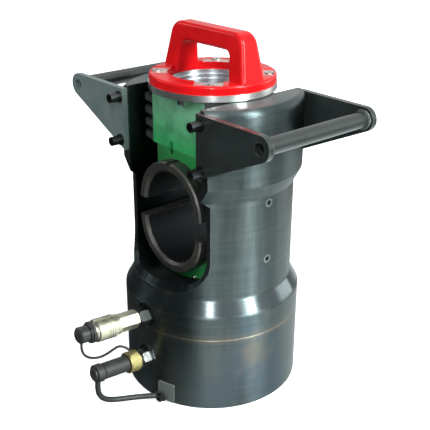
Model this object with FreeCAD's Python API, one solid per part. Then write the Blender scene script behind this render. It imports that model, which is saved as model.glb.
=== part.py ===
import FreeCAD, Part
import math
import os

from FreeCAD import Placement, Rotation, Vector

# Hydraulic crimping head with a U shaped yoke, modelled in millimetres, +Z up.
# The origin is the centre of the bottom face. Minus Y is the side with the hydraulic
# couplers, and the throat runs through from minus Y to plus Y.

# Yoke forging, outside
base_height = 150.0
shoulder_step = 13.0
shoulder_rise = 23.0
collar_step = 11.0
collar_rise = 22.0
collar_wall = 30.0
collar_skirt = 13.0
top_round = 10.0
base_chamfer = 2.5
shoulder_fillet = 5.0
tide_groove_height = 115.0
tide_groove_depth = 0.6
tide_groove_width = 1.2

# Throat between the two arms
slot_clearance = 1.5
slot_floor_drop = 0.9
slot_corner = 40.0
throat_chamfer = 8.0
flat_overhang = 8.0

# Cylinder, ram and bottom cap
cylinder_wall = 35.0
cap_ledge = 5.0
cap_height = 30.0
cap_seal_wire = 1.8
cap_seal_drop = 6.5
gland_length = 30.0
piston_ledge = 20.0
piston_height = 50.0
rod_proud = 2.0
bearing_ring_depth = 2.5
seal_depth = 7.0
wiper_depth = 5.0
running_clearance = 0.08
rest_gap = 0.3
seal_squeeze = 0.03

# Breech teeth that lock the plug in the arms
tooth_root_step = 6.5
tooth_depth = 12.0
crest_gap = 3.0
root_gap = 2.0
tooth_count = 4
tooth_crest = 8.0
tooth_slope = 2.5
tooth_clearance = 0.3
arm_bore_drop = 12.0
top_tooth_drop = 14.0
last_tooth_lift = 1.5

# Breech plug and its polished neck
plug_height = 80.0
plug_flat_half = 62.0
neck_overhang = 1.5
neck_height = 9.5
neck_gap = 0.5
plug_bore_radius = 55.0
plug_bore_step = 2.5
plug_step_height = 6.0
plug_floor_thickness = 34.0
notch_width = 24.0
notch_height = 8.0
notch_depth = 2.5

# Red handle casting
flange_inset = 1.0
flange_thickness = 12.0
flange_hole_step = 2.0
flange_round = 3.5
handle_height = 73.0
handle_bar = 25.0
foot_inset = 3.1
handle_lean = 13.4
leg_top_width = 22.5
leg_foot_width = 31.9
foot_half_depth = 22.0
foot_depth = 8.0
top_half_depth = 13.0
handle_corner = 19.0
window_corner = 10.0
handle_edge = 6.0
pad_width = 38.0
pad_depth = 1.6
pad_inset = 4.0
handle_screw_inset = 10.5
handle_screw_radius = 4.0

# Crimping dies and their holders
die_outer_radius = 68.0
die_wall = 15.0
die_half_length = 80.0
die_gap = 28.0
die_chamfer = 4.0
holder_wall = 9.5
holder_floor = 34.4
holder_crown = 13.1
saddle_clearance = 0.1
wing_drop = 36.5
key_width = 10.0
key_height = 8.0
key_end = 56.0
key_start = 20.0
stud_radius = 15.0
stud_thread_radius = 12.0
stud_head_radius = 22.0
stud_head_height = 10.0
holder_screw_offset = 28.0
holder_screw_radius = 5.0
spigot_radius = 20.0
spigot_height = 8.0

# Spring buttons in the front flats of the holders
latch_x = -15.0
latch_drop = 5.7
latch_slot_width = 8.0
latch_slot_height = 20.0
latch_slot_depth = 8.0
button_radius = 3.3
button_length = 10.0
button_spring_length = 12.0
button_clearance = 0.08
latch_travel = 4.0
release_x = 33.0
release_drop = 4.5
release_stand = 3.0
release_travel = 2.5

# Lifting bails bolted to the flats of the collar
bail_plate_thickness = 8.0
bail_reach = 114.0
bail_end_drop = 19.5
bail_end_radius = 16.5
bail_foot_drop = 92.0
bail_top_gap = 3.0
bail_bore_radius = 7.9
bail_tube_radius = 10.65
bail_bolt_inset = 8.5
bail_bolt_lift = 14.0
bail_bolt_drop = 16.0
bail_bolt_radius = 4.0
bail_bolt_depth = 24.0
bail_bolt_head_radius = 6.5
bail_bolt_head_height = 12.0
washer_radius = 8.2
washer_thickness = 2.0
spring_washer_radius = 7.0
spring_washer_thickness = 2.6

# Hydraulic ports and couplers, stations measured outwards from the spot face
port_x = 6.0
port_tilt = 5.5
upper_port_z = 133.3
lower_port_z = 64.3
port_spot_depth = 2.5
port_spot_radius = 19.0
port_thread_radius = 8.0
port_thread_depth = 18.0
oilway_radius = 2.5
upper_hex_flats = 25.0
upper_hex_length = 20.0
coupler_hex_flats = 23.5
coupler_hex_length = 33.0
coupler_body_radius = 12.5
coupler_length = 73.0
socket_radius = 7.1
sleeve_radius = 16.2
sleeve_length = 31.0
sleeve_travel = 4.0
sleeve_spring_wire = 0.85
snap_ring_width = 1.5
ball_radius = 2.4
ball_count = 6
poppet_travel = 4.0
plug_flange_radius = 15.0
plug_flange_length = 8.0
plug_cap_radius = 11.5
plug_cap_length = 14.0
lower_hex_flats = 22.5
lower_hex_length = 16.0
neck_radius_lower = 9.0
collar_nut_radius = 15.3
collar_nut_length = 20.0
collar_knurls = 24
nipple_radius = 10.0
nipple_nose_length = 32.0
dust_cap_radius = 11.6
dust_cap_length = 41.0
dust_cap_neck = 8.0
eye_radius = 13.0
eye_length = 11.5

# Tethers of the two dust covers
lanyard_radius = 1.75
lug_length = 7.0
strap_radius = 4.0
anchor_angle = 19.0
anchor_width = 27.0
anchor_height = 30.0
anchor_bottom = 4.0
anchor_thickness = 3.0
tab_thickness = 4.0
tab_width = 14.0
tab_height = 12.0
tab_root_length = 8.0
anchor_bolt_radius = 3.0
anchor_bolt_head = 5.5

# Plugs in the side of the yoke
side_screw_radius = 4.0
side_screw_depth = 10.0
side_screw_heights = (224.0, 308.0)

# Radii that follow from the die outwards
die_inner_radius = die_outer_radius - die_wall
saddle_radius = die_outer_radius + saddle_clearance
holder_radius = die_outer_radius + holder_wall
slot_half_width = holder_radius + slot_clearance
plug_root_radius = holder_radius + tooth_root_step
plug_tooth_radius = plug_root_radius + tooth_depth
arm_crest_radius = plug_root_radius + crest_gap
arm_root_radius = plug_tooth_radius + root_gap
collar_radius = arm_root_radius + collar_wall
waist_radius = collar_radius - collar_step
base_radius = waist_radius + shoulder_step
bore_radius = base_radius - cylinder_wall
cap_radius = bore_radius + cap_ledge
rod_radius = bore_radius - piston_ledge
port_face = base_radius - port_spot_depth
flat_half_depth = die_half_length + flat_overhang
bail_end_x = slot_half_width + bail_reach
neck_radius = arm_crest_radius + neck_overhang
flange_radius = neck_radius - flange_inset
flange_hole_radius = plug_bore_radius + 2 * plug_bore_step + flange_hole_step
handle_screw_circle = flange_radius - handle_screw_inset
pad_reach = flange_radius - pad_inset
foot_half_length = flange_radius - foot_inset
top_half_length = foot_half_length - handle_lean
window_foot_half = foot_half_length - leg_foot_width
window_top_half = top_half_length - leg_top_width

# Heights that follow from the base upwards
shoulder_top = base_height + shoulder_rise
ram_bottom = cap_height + rest_gap
piston_top = ram_bottom + piston_height
gland_top = base_height
cylinder_ceiling = gland_top - gland_length
rod_top = gland_top + rod_proud
lower_seat = rod_top + holder_floor
slot_floor = lower_seat - slot_floor_drop
lower_die_centre = lower_seat + saddle_radius
upper_die_centre = lower_die_centre + die_gap
upper_wing_bottom = upper_die_centre + wing_drop
lower_wing_top = lower_die_centre - wing_drop
upper_seat = upper_die_centre + saddle_radius
upper_holder_top = upper_seat + holder_crown
plug_bottom = upper_holder_top + rest_gap
plug_floor = plug_bottom + plug_floor_thickness
arm_bore_bottom = plug_bottom - arm_bore_drop
collar_bottom = arm_bore_bottom - collar_skirt
waist_top = collar_bottom - collar_rise
body_height = plug_bottom + plug_height
top_tooth = body_height - top_tooth_drop
teeth_room = plug_height - top_tooth_drop - last_tooth_lift - tooth_crest - tooth_slope
tooth_pitch = teeth_room / (tooth_count - 1)
bail_end_z = body_height - bail_end_drop
bail_foot_z = body_height - bail_foot_drop
bail_bolt_low = bail_foot_z + bail_bolt_lift
bail_bolt_high = body_height - bail_bolt_drop
neck_bottom = body_height + neck_gap
flange_bottom = neck_bottom + neck_height
flange_top = flange_bottom + flange_thickness
handle_top = flange_bottom + handle_height

# Faces and ports
flat_front = -plug_flat_half
upper_port = Vector(port_x, -port_face, upper_port_z)
lower_port = Vector(port_x, -port_face, lower_port_z)
far = 2.0 * base_radius


def cylinder(radius, low, high, x=0.0, y=0.0):
    """Upright cylinder between two heights."""
    return Part.makeCylinder(radius, high - low, Vector(x, y, low))


def cylinder_y(radius, start, end, x, z):
    """Cylinder along Y between two depths."""
    return Part.makeCylinder(radius, end - start, Vector(x, start, z), Vector(0, 1, 0))


def block(x0, x1, y0, y1, z0, z1):
    """Box between two corners."""
    return Part.makeBox(x1 - x0, y1 - y0, z1 - z0, Vector(x0, y0, z0))


def tube(inner, outer, low, high):
    """Upright ring with a round hole."""
    return cylinder(outer, low, high).cut(cylinder(inner, low - 1, high + 1))


def revolved(outline):
    """Solid turned about Z from (radius, height) points."""
    points = [Vector(r, 0, z) for r, z in outline]
    wire = Part.makePolygon(points + points[:1])
    return Part.Face(wire).revolve(Vector(0, 0, 0), Vector(0, 0, 1), 360)


def upright_slab(outline, start, end):
    """Slab along Y from (x, z) points."""
    points = [Vector(x, start, z) for x, z in outline]
    wire = Part.makePolygon(points + points[:1])
    return Part.Face(wire).extrude(Vector(0, end - start, 0))


def hexagon(flats, low, high):
    """Upright hexagonal bar of a size across flats."""
    corner = flats / math.sqrt(3.0)
    points = []
    for index in range(7):
        angle = math.radians(60 * index)
        points.append(Vector(corner * math.cos(angle), corner * math.sin(angle), low))
    return Part.Face(Part.makePolygon(points)).extrude(Vector(0, 0, high - low))


def turned_hexagon(flats, low, high, bevel):
    """Hexagonal bar whose end corners are turned off at 30 degrees."""
    corner = flats / math.sqrt(3.0) + 0.01
    lead = corner - flats / 2.0 + 0.4
    drop = min(bevel, 0.58 * lead)
    outline = [(0, low), (corner - lead, low), (corner, low + drop), (corner, high - drop)]
    outline += [(corner - lead, high), (0, high)]
    return hexagon(flats, low, high).common(revolved(outline))


def circle_edges_at(shape, height, radius):
    """Round edges of a turned shape at one height and radius."""
    chosen = []
    for edge in shape.Edges:
        curve = edge.Curve
        if isinstance(curve, Part.Circle) and abs(curve.Radius - radius) < 1e-4:
            if abs(curve.Center.z - height) < 1e-4:
                chosen.append(edge)
    return chosen


def flatten_sides(shape, half, low, high):
    """Mill both Y sides of a turned shape to flats."""
    for side in (-1, 1):
        near, wide = sorted((side * half, side * far))
        shape = shape.cut(block(-far, far, near, wide, low, high))
    return shape


def at_port(shape, port):
    """Put a shape built up along Z onto a port, pointing out of the base."""
    placed = shape.copy()
    placed.Placement = Placement(port, Rotation(Vector(1, 0, 0), 90.0 - port_tilt))
    return placed


def port_point(port, station, down=0.0, side=0.0):
    """Point at a station along a coupler, a distance below and beside its axis."""
    spin = Rotation(Vector(1, 0, 0), 90.0 - port_tilt)
    return port + spin.multVec(Vector(side, -down, station))


def tooth_underside(radius, tooth_top):
    """Height of the sloping lower face of a plug tooth at a radius."""
    share = (plug_tooth_radius - radius) / (plug_tooth_radius - plug_root_radius)
    return tooth_top - tooth_crest - tooth_slope * share


def tooth_tops():
    """Heights of the load faces of the plug's teeth."""
    return [top_tooth - index * tooth_pitch for index in range(tooth_count)]


def yoke_outline():
    """Turned outside of the forging."""
    outline = [(0, 0), (base_radius - base_chamfer, 0), (base_radius, base_chamfer)]
    outline += [(base_radius, base_height), (waist_radius, shoulder_top)]
    outline += [(waist_radius, waist_top), (collar_radius, collar_bottom)]
    outline += [(collar_radius, body_height), (0, body_height)]
    return outline


def turned_yoke():
    """Outside of the forging with its rounded shoulders and top edge."""
    solid = revolved(yoke_outline())
    corners = circle_edges_at(solid, base_height, base_radius)
    corners += circle_edges_at(solid, shoulder_top, waist_radius)
    corners += circle_edges_at(solid, waist_top, waist_radius)
    corners += circle_edges_at(solid, collar_bottom, collar_radius)
    solid = solid.makeFillet(shoulder_fillet, corners)
    return solid.makeFillet(top_round, circle_edges_at(solid, body_height, collar_radius))


def throat():
    """U shaped slot through the yoke, with round lower corners."""
    centre_x = slot_half_width - slot_corner
    centre_z = slot_floor + slot_corner
    reach = slot_corner * math.sqrt(0.5)
    top = body_height + slot_corner
    y = -far
    a = Vector(-slot_half_width, y, top)
    b = Vector(-slot_half_width, y, centre_z)
    c = Vector(-centre_x, y, slot_floor)
    d = Vector(centre_x, y, slot_floor)
    e = Vector(slot_half_width, y, centre_z)
    f = Vector(slot_half_width, y, top)
    left_mid = Vector(-centre_x - reach, y, centre_z - reach)
    right_mid = Vector(centre_x + reach, y, centre_z - reach)
    edges = [Part.makeLine(a, b), Part.Arc(b, left_mid, c).toShape(), Part.makeLine(c, d)]
    edges += [Part.Arc(d, right_mid, e).toShape(), Part.makeLine(e, f), Part.makeLine(f, a)]
    return Part.Face(Part.Wire(edges)).extrude(Vector(0, 2 * far, 0))


def breech_bore():
    """Bore between the arms with a groove for each tooth of the plug."""
    cut = cylinder(arm_crest_radius, arm_bore_bottom, body_height + 1)
    for top in tooth_tops():
        upper = top + tooth_clearance
        inner = arm_crest_radius - 1.0
        lower_in = tooth_underside(inner, top) - tooth_clearance
        lower_out = tooth_underside(plug_tooth_radius, top) - tooth_clearance
        outline = [(inner, lower_in), (arm_root_radius, lower_out), (arm_root_radius, upper)]
        outline += [(inner, upper)]
        cut = cut.fuse(revolved(outline))
    return cut


def cylinder_space():
    """Cap thread, cylinder bore, gland with its seal grooves, and the holder's recess."""
    cut = cylinder(cap_radius + running_clearance, -1, cap_height)
    cut = cut.fuse(cylinder(bore_radius, cap_height - 1, cylinder_ceiling))
    cut = cut.fuse(cylinder(rod_radius + running_clearance, cylinder_ceiling - 1, gland_top + 1))
    for low, high, depth in gland_grooves().values():
        cut = cut.fuse(cylinder(rod_radius + depth, low, high))
    recess_top = slot_floor + slot_corner
    return cut.fuse(cylinder(holder_radius + 1.2, gland_top, recess_top))


def gland_grooves():
    """Bottom, top and depth of each ring groove in the rod gland."""
    share = gland_length / 30.0
    low = cylinder_ceiling
    return {
        "gland_bearing_ring": (low + 3 * share, low + 11 * share, bearing_ring_depth),
        "rod_seal": (low + 13 * share, low + 20 * share, seal_depth),
        "wiper_ring": (low + 23 * share, low + 28 * share, wiper_depth),
    }


def piston_grooves():
    """Bottom, top and depth of each ring groove in the piston."""
    share = piston_height / 50.0
    low = ram_bottom
    return {
        "piston_lower_bearing": (low + 12 * share, low + 18 * share, bearing_ring_depth),
        "piston_seal": (low + 21 * share, low + 31 * share, seal_depth),
        "piston_upper_bearing": (low + 34 * share, low + 40 * share, bearing_ring_depth),
    }


def oilway(port, end_height):
    """Drilled way from the bottom of a port into the cylinder."""
    start = port_point(port, -port_thread_depth + 1)
    end = Vector(port_x, -bore_radius + 3, end_height)
    way = end - start
    return Part.makeCylinder(oilway_radius, way.Length, start, way)


def port_cut(port, end_height):
    """Spot face, threaded hole and oilway of one port."""
    face = at_port(cylinder(port_spot_radius, 0, 40), port)
    hole = at_port(cylinder(port_thread_radius, -port_thread_depth, 1), port)
    return face.fuse(hole).fuse(oilway(port, end_height))


def bail_bolt_places():
    """X, side and height of the eight bail bolts."""
    places = []
    inset = slot_half_width + bail_bolt_inset
    for x in (-inset, inset):
        for side in (-1, 1):
            for height in (bail_bolt_low, bail_bolt_high):
                places.append((x, side, height))
    return places


def along_side(radius, start, end, x, side, z):
    """Cylinder along Y, from one distance out from the middle to another, on one side."""
    near, wide = sorted((side * start, side * end))
    return cylinder_y(radius, near, wide, x, z)


def side_screw(height, start, end, radius):
    """Cylinder into the plus X side of the yoke."""
    return Part.makeCylinder(radius, end - start, Vector(start, 0, height), Vector(1, 0, 0))


def anchor_placement():
    """Frame of the tether anchor: X along the base's skin, Y outwards, Z up."""
    turn = Rotation(Vector(0, 0, 1), anchor_angle)
    return Placement(Vector(0, 0, 0), turn)


def on_anchor(shape):
    """Turn a shape built at the front of the base to the anchor's place."""
    placed = shape.copy()
    placed.Placement = anchor_placement()
    return placed


def anchor_flat():
    """Shallow flat on the base that the anchor plate lies on."""
    reach = anchor_width / 2.0 + 1.0
    depth = base_radius - anchor_seat()
    top = anchor_bottom + anchor_height + 1
    flat = block(-reach, reach, -base_radius - 1, -base_radius + depth, anchor_bottom - 1, top)
    x = anchor_bolt_x()
    bolt = cylinder_y(anchor_bolt_radius, -base_radius, -base_radius + 15, x, anchor_bolt_z())
    return on_anchor(flat.fuse(bolt))


def anchor_seat():
    """Distance of the anchor's flat from the axis."""
    return base_radius - 0.9


def anchor_bolt_x():
    """Place of the anchor bolt along the plate."""
    return -anchor_width / 2.0 + tab_width / 2.0


def anchor_bolt_z():
    """Height of the anchor bolt."""
    return anchor_bottom + tab_height / 2.0


def throat_edge_places():
    """Points round the front edge of the throat, each with its direction into the metal."""
    centre_x = slot_half_width - slot_corner
    centre_z = slot_floor + slot_corner
    places = [(slot_half_width, waist_top - shoulder_fillet, 1.0, 0.0)]
    for step in range(7):
        angle = math.radians(-15 * step)
        x = centre_x + slot_corner * math.cos(angle)
        z = centre_z + slot_corner * math.sin(angle)
        places.append((x, z, math.cos(angle), math.sin(angle)))
    for share in (0.67, 0.33):
        places.append((share * centre_x, slot_floor, 0.0, -1.0))
    mirrored = [(-x, z, -nx, nz) for x, z, nx, nz in places]
    return places + [(0.0, slot_floor, 0.0, -1.0)] + mirrored[::-1]


def bevel_section(x, z, nx, nz, size):
    """Triangle that bevels the edge of the throat at one point."""
    y = -math.sqrt(waist_radius ** 2 - x ** 2)
    out_x = x + size * nx
    on_wall = Vector(x, y + size, z)
    on_skin = Vector(out_x, -math.sqrt(waist_radius ** 2 - out_x ** 2), z + size * nz)
    outside = Vector(x - size * nx, y - 2 * size, z - size * nz)
    return Part.makePolygon([on_wall, on_skin, outside, on_wall])


def cut_throat_chamfer(solid):
    """Bevel the edge of the throat on the waist, front and back."""
    places = throat_edge_places()
    top = waist_top + 2.0
    sections = [bevel_section(slot_half_width, top, 1.0, 0.0, 0.5)]
    sections += [bevel_section(x, z, nx, nz, throat_chamfer) for x, z, nx, nz in places]
    sections.append(bevel_section(-slot_half_width, top, -1.0, 0.0, 0.5))
    front = Part.makeLoft(sections, True, True)
    back = front.mirror(Vector(0, 0, 0), Vector(0, 1, 0))
    return solid.cut(front).cut(back)


def yoke_body():
    """Forged cylinder and yoke in one piece."""
    solid = turned_yoke()
    groove_top = tide_groove_height + tide_groove_width
    solid = solid.cut(tube(base_radius - tide_groove_depth, base_radius + 1, tide_groove_height, groove_top))
    solid = solid.cut(throat())
    solid = cut_throat_chamfer(solid)
    solid = flatten_sides(solid, flat_half_depth, waist_top + 2, body_height + 1)
    solid = solid.cut(cylinder_space())
    solid = solid.cut(breech_bore())
    solid = solid.cut(port_cut(upper_port, cylinder_ceiling - 6))
    solid = solid.cut(port_cut(lower_port, ram_bottom + 4))
    solid = solid.cut(anchor_flat())
    for x, side, height in bail_bolt_places():
        depth = flat_half_depth - bail_bolt_depth - 2
        solid = solid.cut(along_side(bail_bolt_radius, depth, flat_half_depth + 1, x, side, height))
    for height in side_screw_heights:
        hole = side_screw(height, waist_radius - side_screw_depth, waist_radius + 1, side_screw_radius)
        solid = solid.cut(hole)
    return solid


def bottom_cap():
    """Threaded cap that closes the cylinder, with two pin holes and an O-ring groove."""
    solid = cylinder(cap_radius, 0, cap_height)
    solid = solid.makeChamfer(1.5, circle_edges_at(solid, 0, cap_radius))
    middle = cap_height - cap_seal_drop
    inner = cap_radius + running_clearance - 2 * cap_seal_wire
    half = cap_seal_wire + 0.6
    solid = solid.cut(tube(inner, cap_radius + 1, middle - half, middle + half))
    for side in (-1, 1):
        solid = solid.cut(cylinder(5, -1, 8, side * 0.6 * cap_radius, 0))
    return solid


def cap_seal():
    """O-ring of the bottom cap."""
    centre = cap_radius + running_clearance - cap_seal_wire
    return Part.makeTorus(centre, cap_seal_wire, Vector(0, 0, cap_height - cap_seal_drop))


def ring_in_gland(name):
    """Seal or bearing ring seated in a groove of the rod gland."""
    low, high, depth = gland_grooves()[name]
    inner = rod_radius + seal_squeeze
    return tube(inner, rod_radius + depth, low, high)


def ring_on_piston(name):
    """Seal or bearing ring seated in a groove of the piston."""
    low, high, depth = piston_grooves()[name]
    face = bore_radius - running_clearance
    return tube(face - depth, bore_radius - seal_squeeze, low, high)


def ram():
    """Piston and rod in one piece, with a relief below and a spigot above."""
    face = bore_radius - running_clearance
    relief = ram_bottom + 8
    outline = [(0, ram_bottom), (rod_radius, ram_bottom), (face - 10, relief), (face, relief)]
    outline += [(face, piston_top - 2), (face - 2, piston_top), (rod_radius, piston_top)]
    outline += [(rod_radius, rod_top), (spigot_radius, rod_top), (spigot_radius, rod_top + spigot_height)]
    outline += [(0, rod_top + spigot_height)]
    solid = revolved(outline)
    for low, high, depth in piston_grooves().values():
        solid = solid.cut(tube(face - depth, face + 1, low, high))
    for x, y in holder_screw_places():
        solid = solid.cut(cylinder(holder_screw_radius, rod_top - 16, rod_top + 1, x, y))
    return solid


def holder_screw_places():
    """Places of the four screws that hold the lower holder on the rod."""
    places = []
    for x in (-holder_screw_offset, holder_screw_offset):
        for y in (-holder_screw_offset, holder_screw_offset):
            places.append((x, y))
    return places


def screw_head_top():
    """Height of the heads of the lower holder's screws."""
    return rod_top + 15.0


def lower_die_holder():
    """Saddle block on the rod that carries the lower die."""
    solid = cylinder(holder_radius, rod_top, lower_wing_top)
    solid = flatten_sides(solid, plug_flat_half, rod_top - 1, lower_wing_top + 1)
    solid = solid.cut(cylinder_y(saddle_radius, -far, far, 0, lower_die_centre))
    recess_top = rod_top + spigot_height + rest_gap
    solid = solid.cut(cylinder(spigot_radius + running_clearance, rod_top - 1, recess_top))
    for x, y in holder_screw_places():
        solid = solid.cut(cylinder(holder_screw_radius + 0.3, rod_top - 1, far, x, y))
        solid = solid.cut(cylinder(2 * holder_screw_radius, screw_head_top() - 10, far, x, y))
    solid = solid.cut(die_key(lower_seat, 0.0))
    return solid.cut(button_bore(release_x, release_z(), flat_front))


def die_key(seat, extra):
    """Two feather keys, half in the holder and half in the back of the die."""
    half = key_width / 2.0 + extra
    half_height = key_height / 2.0 + extra
    solids = []
    for side in (-1, 1):
        near, wide = sorted((side * (key_start - extra), side * (key_end + extra)))
        key = block(-half, half, near, wide, seat - half_height, seat + half_height)
        solids.append(key)
    return Part.makeCompound(solids)


def holder_screws():
    """Four socket screws of the lower holder."""
    solids = []
    for x, y in holder_screw_places():
        shank = cylinder(holder_screw_radius, rod_top - 14, screw_head_top() - 10, x, y)
        head = cylinder(1.6 * holder_screw_radius, screw_head_top() - 10, screw_head_top(), x, y)
        socket = hexagon(8, screw_head_top() - 5, screw_head_top() + 1)
        socket.translate(Vector(x, y, 0))
        solids.append(shank.fuse(head).cut(socket))
    return Part.makeCompound(solids)


def die_half(centre, seat, upward):
    """Half ring die with a keyway in its back and bevelled mouth edges."""
    solid = cylinder_y(die_outer_radius, -die_half_length, die_half_length, 0, centre)
    bore = cylinder_y(die_inner_radius, -die_half_length, die_half_length, 0, centre)
    solid = solid.cut(bore)
    for side in (-1, 1):
        end = side * die_half_length
        base = Vector(0, end - side * die_chamfer, centre)
        wide = die_inner_radius + die_chamfer
        cone = Part.makeCone(die_inner_radius, wide, die_chamfer, base, Vector(0, side, 0))
        solid = solid.cut(cone)
        slim = die_outer_radius - die_chamfer / 2.0
        base = Vector(0, end - side * die_chamfer / 2.0, centre)
        ring = Part.makeCylinder(far, die_chamfer, base, Vector(0, side, 0))
        nose = Part.makeCone(die_outer_radius, slim, die_chamfer / 2.0, base, Vector(0, side, 0))
        solid = solid.cut(ring.cut(nose))
    if upward:
        other = block(-far, far, -far, far, 0, centre)
    else:
        other = block(-far, far, -far, far, centre, 2 * far)
    keyway_half = key_width / 2.0 + saddle_clearance
    reach = key_height / 2.0 + saddle_clearance
    keyway = block(-keyway_half, keyway_half, -far, far, seat - reach, seat + reach)
    return solid.cut(other).cut(keyway)


def upper_die():
    """Upper half ring die."""
    return die_half(upper_die_centre, upper_seat, True)


def lower_die():
    """Lower half ring die."""
    return die_half(lower_die_centre, lower_seat, False)


def upper_die_holder():
    """Saddle block hung below the breech plug."""
    solid = cylinder(holder_radius, upper_wing_bottom, upper_holder_top)
    solid = flatten_sides(solid, plug_flat_half, upper_wing_bottom - 1, upper_holder_top + 1)
    solid = solid.cut(cylinder_y(saddle_radius, -far, far, 0, upper_die_centre))
    solid = solid.cut(cylinder(stud_thread_radius, upper_seat - 6, upper_holder_top + 1))
    solid = solid.cut(die_key(upper_seat, 0.0))
    solid = solid.cut(latch_slot())
    return solid.cut(button_bore(latch_x, latch_z(), flat_front + latch_slot_depth))


def stud_bottom():
    """Lower end of the swivel stud, just above the die."""
    return upper_seat + 1.0


def swivel_stud():
    """Shouldered stud that hangs the upper holder from the floor of the breech plug."""
    solid = cylinder(stud_thread_radius, stud_bottom(), upper_holder_top)
    solid = solid.fuse(cylinder(stud_radius, upper_holder_top, plug_floor + 0.1))
    head = cylinder(stud_head_radius, plug_floor + 0.1, plug_floor + stud_head_height)
    head = head.makeChamfer(1.5, circle_edges_at(head, plug_floor + stud_head_height, stud_head_radius))
    solid = solid.fuse(head)
    return solid.cut(hexagon(14, plug_floor + 3, plug_floor + stud_head_height + 1))


def latch_z():
    """Height of the latch button."""
    return upper_holder_top - latch_drop


def release_z():
    """Height of the lower release button."""
    return lower_seat - release_drop


def latch_slot():
    """Round ended slot across the joint of the plug and the upper holder."""
    half = latch_slot_height / 2.0
    radius = latch_slot_width / 2.0
    start = flat_front - 1
    end = flat_front + latch_slot_depth
    bottom = plug_bottom - half + radius
    top = plug_bottom + half - radius
    middle = block(latch_x - radius, latch_x + radius, start, end, bottom, top)
    low = cylinder_y(radius, start, end, latch_x, bottom)
    high = cylinder_y(radius, start, end, latch_x, top)
    return middle.fuse(low).fuse(high)


def button_bore(x, z, front):
    """Blind bore for a spring button and its spring."""
    depth = button_length + button_spring_length
    return cylinder_y(button_radius + button_clearance, front - 1, front + depth, x, z)


def button_pin(x, z, front, stand):
    """Round ended button that stands out of its bore."""
    solid = cylinder_y(button_radius, front - stand, front + button_length, x, z)
    rounded = []
    for edge in solid.Edges:
        if isinstance(edge.Curve, Part.Circle) and abs(edge.Curve.Center.y - (front - stand)) < 1e-4:
            rounded.append(edge)
    return solid.makeFillet(1.0, rounded)


def coil_spring(radius, wire, length, turns, base, direction):
    """Helical spring of six sided wire, from a base point along a direction."""
    rise = length - 2 * wire
    path = Part.Wire(Part.makeHelix(rise / turns, rise, radius))
    points = []
    for index in range(7):
        angle = math.radians(60 * index)
        points.append(Vector(radius + wire * math.cos(angle), 0, wire * math.sin(angle)))
    spring = path.makePipeShell([Part.makePolygon(points)], True, True)
    spring.translate(Vector(0, 0, wire))
    spring.Placement = Placement(base, Rotation(Vector(0, 0, 1), direction)).multiply(spring.Placement)
    return spring


def button_spring(x, z, front):
    """Spring behind a button."""
    base = Vector(x, front + button_length, z)
    return coil_spring(button_radius - 0.9, 0.6, button_spring_length, 6, base, Vector(0, 1, 0))


def breech_plug():
    """Toothed plug with milled flats, a polished neck and a deep bore."""
    solid = cylinder(plug_root_radius, plug_bottom, neck_bottom)
    for top in tooth_tops():
        inner = plug_root_radius - 1.0
        outline = [(inner, tooth_underside(inner, top)), (plug_tooth_radius, top - tooth_crest)]
        outline += [(plug_tooth_radius, top), (inner, top)]
        solid = solid.fuse(revolved(outline))
    solid = flatten_sides(solid, plug_flat_half, plug_bottom - 20, neck_bottom)
    neck = cylinder(neck_radius, neck_bottom, flange_bottom)
    neck = neck.makeChamfer(1.2, circle_edges_at(neck, neck_bottom, neck_radius))
    solid = solid.fuse(neck).removeSplitter()
    solid = solid.cut(cylinder(plug_bore_radius, plug_floor, flange_bottom + 1))
    for step in (1, 2):
        low = flange_bottom - (3 - step) * plug_step_height
        wide = plug_bore_radius + step * plug_bore_step
        solid = solid.cut(cylinder(wide, low, flange_bottom + 1))
    solid = solid.cut(cylinder(stud_radius + running_clearance, plug_bottom - 1, plug_floor + 1))
    notch_top = top_tooth + 7
    notch_back = flat_front + notch_depth
    notch = block(0, notch_width, flat_front - 1, notch_back, notch_top - notch_height, notch_top)
    solid = solid.cut(notch).cut(latch_slot())
    for x, y in handle_screw_places():
        solid = solid.cut(cylinder(handle_screw_radius, flange_bottom - 7, flange_bottom + 1, x, y))
    return solid


def handle_screw_places():
    """Places of the four handle screws, on the diagonals."""
    places = []
    for index in range(4):
        angle = math.radians(45 + 90 * index)
        places.append((handle_screw_circle * math.cos(angle), handle_screw_circle * math.sin(angle)))
    return places


def arch_outline():
    """Outer shape of the handle seen along Y, with rounded top corners."""
    foot_z = flange_top - foot_depth
    lean = (foot_half_length - top_half_length) / (handle_top - foot_z)
    tilt = math.atan(lean)
    tangent = handle_corner * math.tan((math.pi / 2 - tilt) / 2)
    corner_x = top_half_length
    side_z = handle_top - tangent * math.cos(tilt)
    side_x = corner_x + tangent * math.sin(tilt)
    centre_x = corner_x - tangent
    centre_z = handle_top - handle_corner
    middle_angle = math.pi / 4 + tilt / 2
    middle_x = centre_x + handle_corner * math.cos(middle_angle)
    middle_z = centre_z + handle_corner * math.sin(middle_angle)
    y = -far
    left_foot = Vector(-foot_half_length, y, foot_z)
    left_side = Vector(-side_x, y, side_z)
    left_middle = Vector(-middle_x, y, middle_z)
    left_top = Vector(-centre_x, y, handle_top)
    right_top = Vector(centre_x, y, handle_top)
    right_middle = Vector(middle_x, y, middle_z)
    right_side = Vector(side_x, y, side_z)
    right_foot = Vector(foot_half_length, y, foot_z)
    edges = [Part.makeLine(left_foot, left_side)]
    edges.append(Part.Arc(left_side, left_middle, left_top).toShape())
    edges.append(Part.makeLine(left_top, right_top))
    edges.append(Part.Arc(right_top, right_middle, right_side).toShape())
    edges.append(Part.makeLine(right_side, right_foot))
    edges.append(Part.makeLine(right_foot, left_foot))
    return Part.Face(Part.Wire(edges)).extrude(Vector(0, 2 * far, 0))


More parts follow.
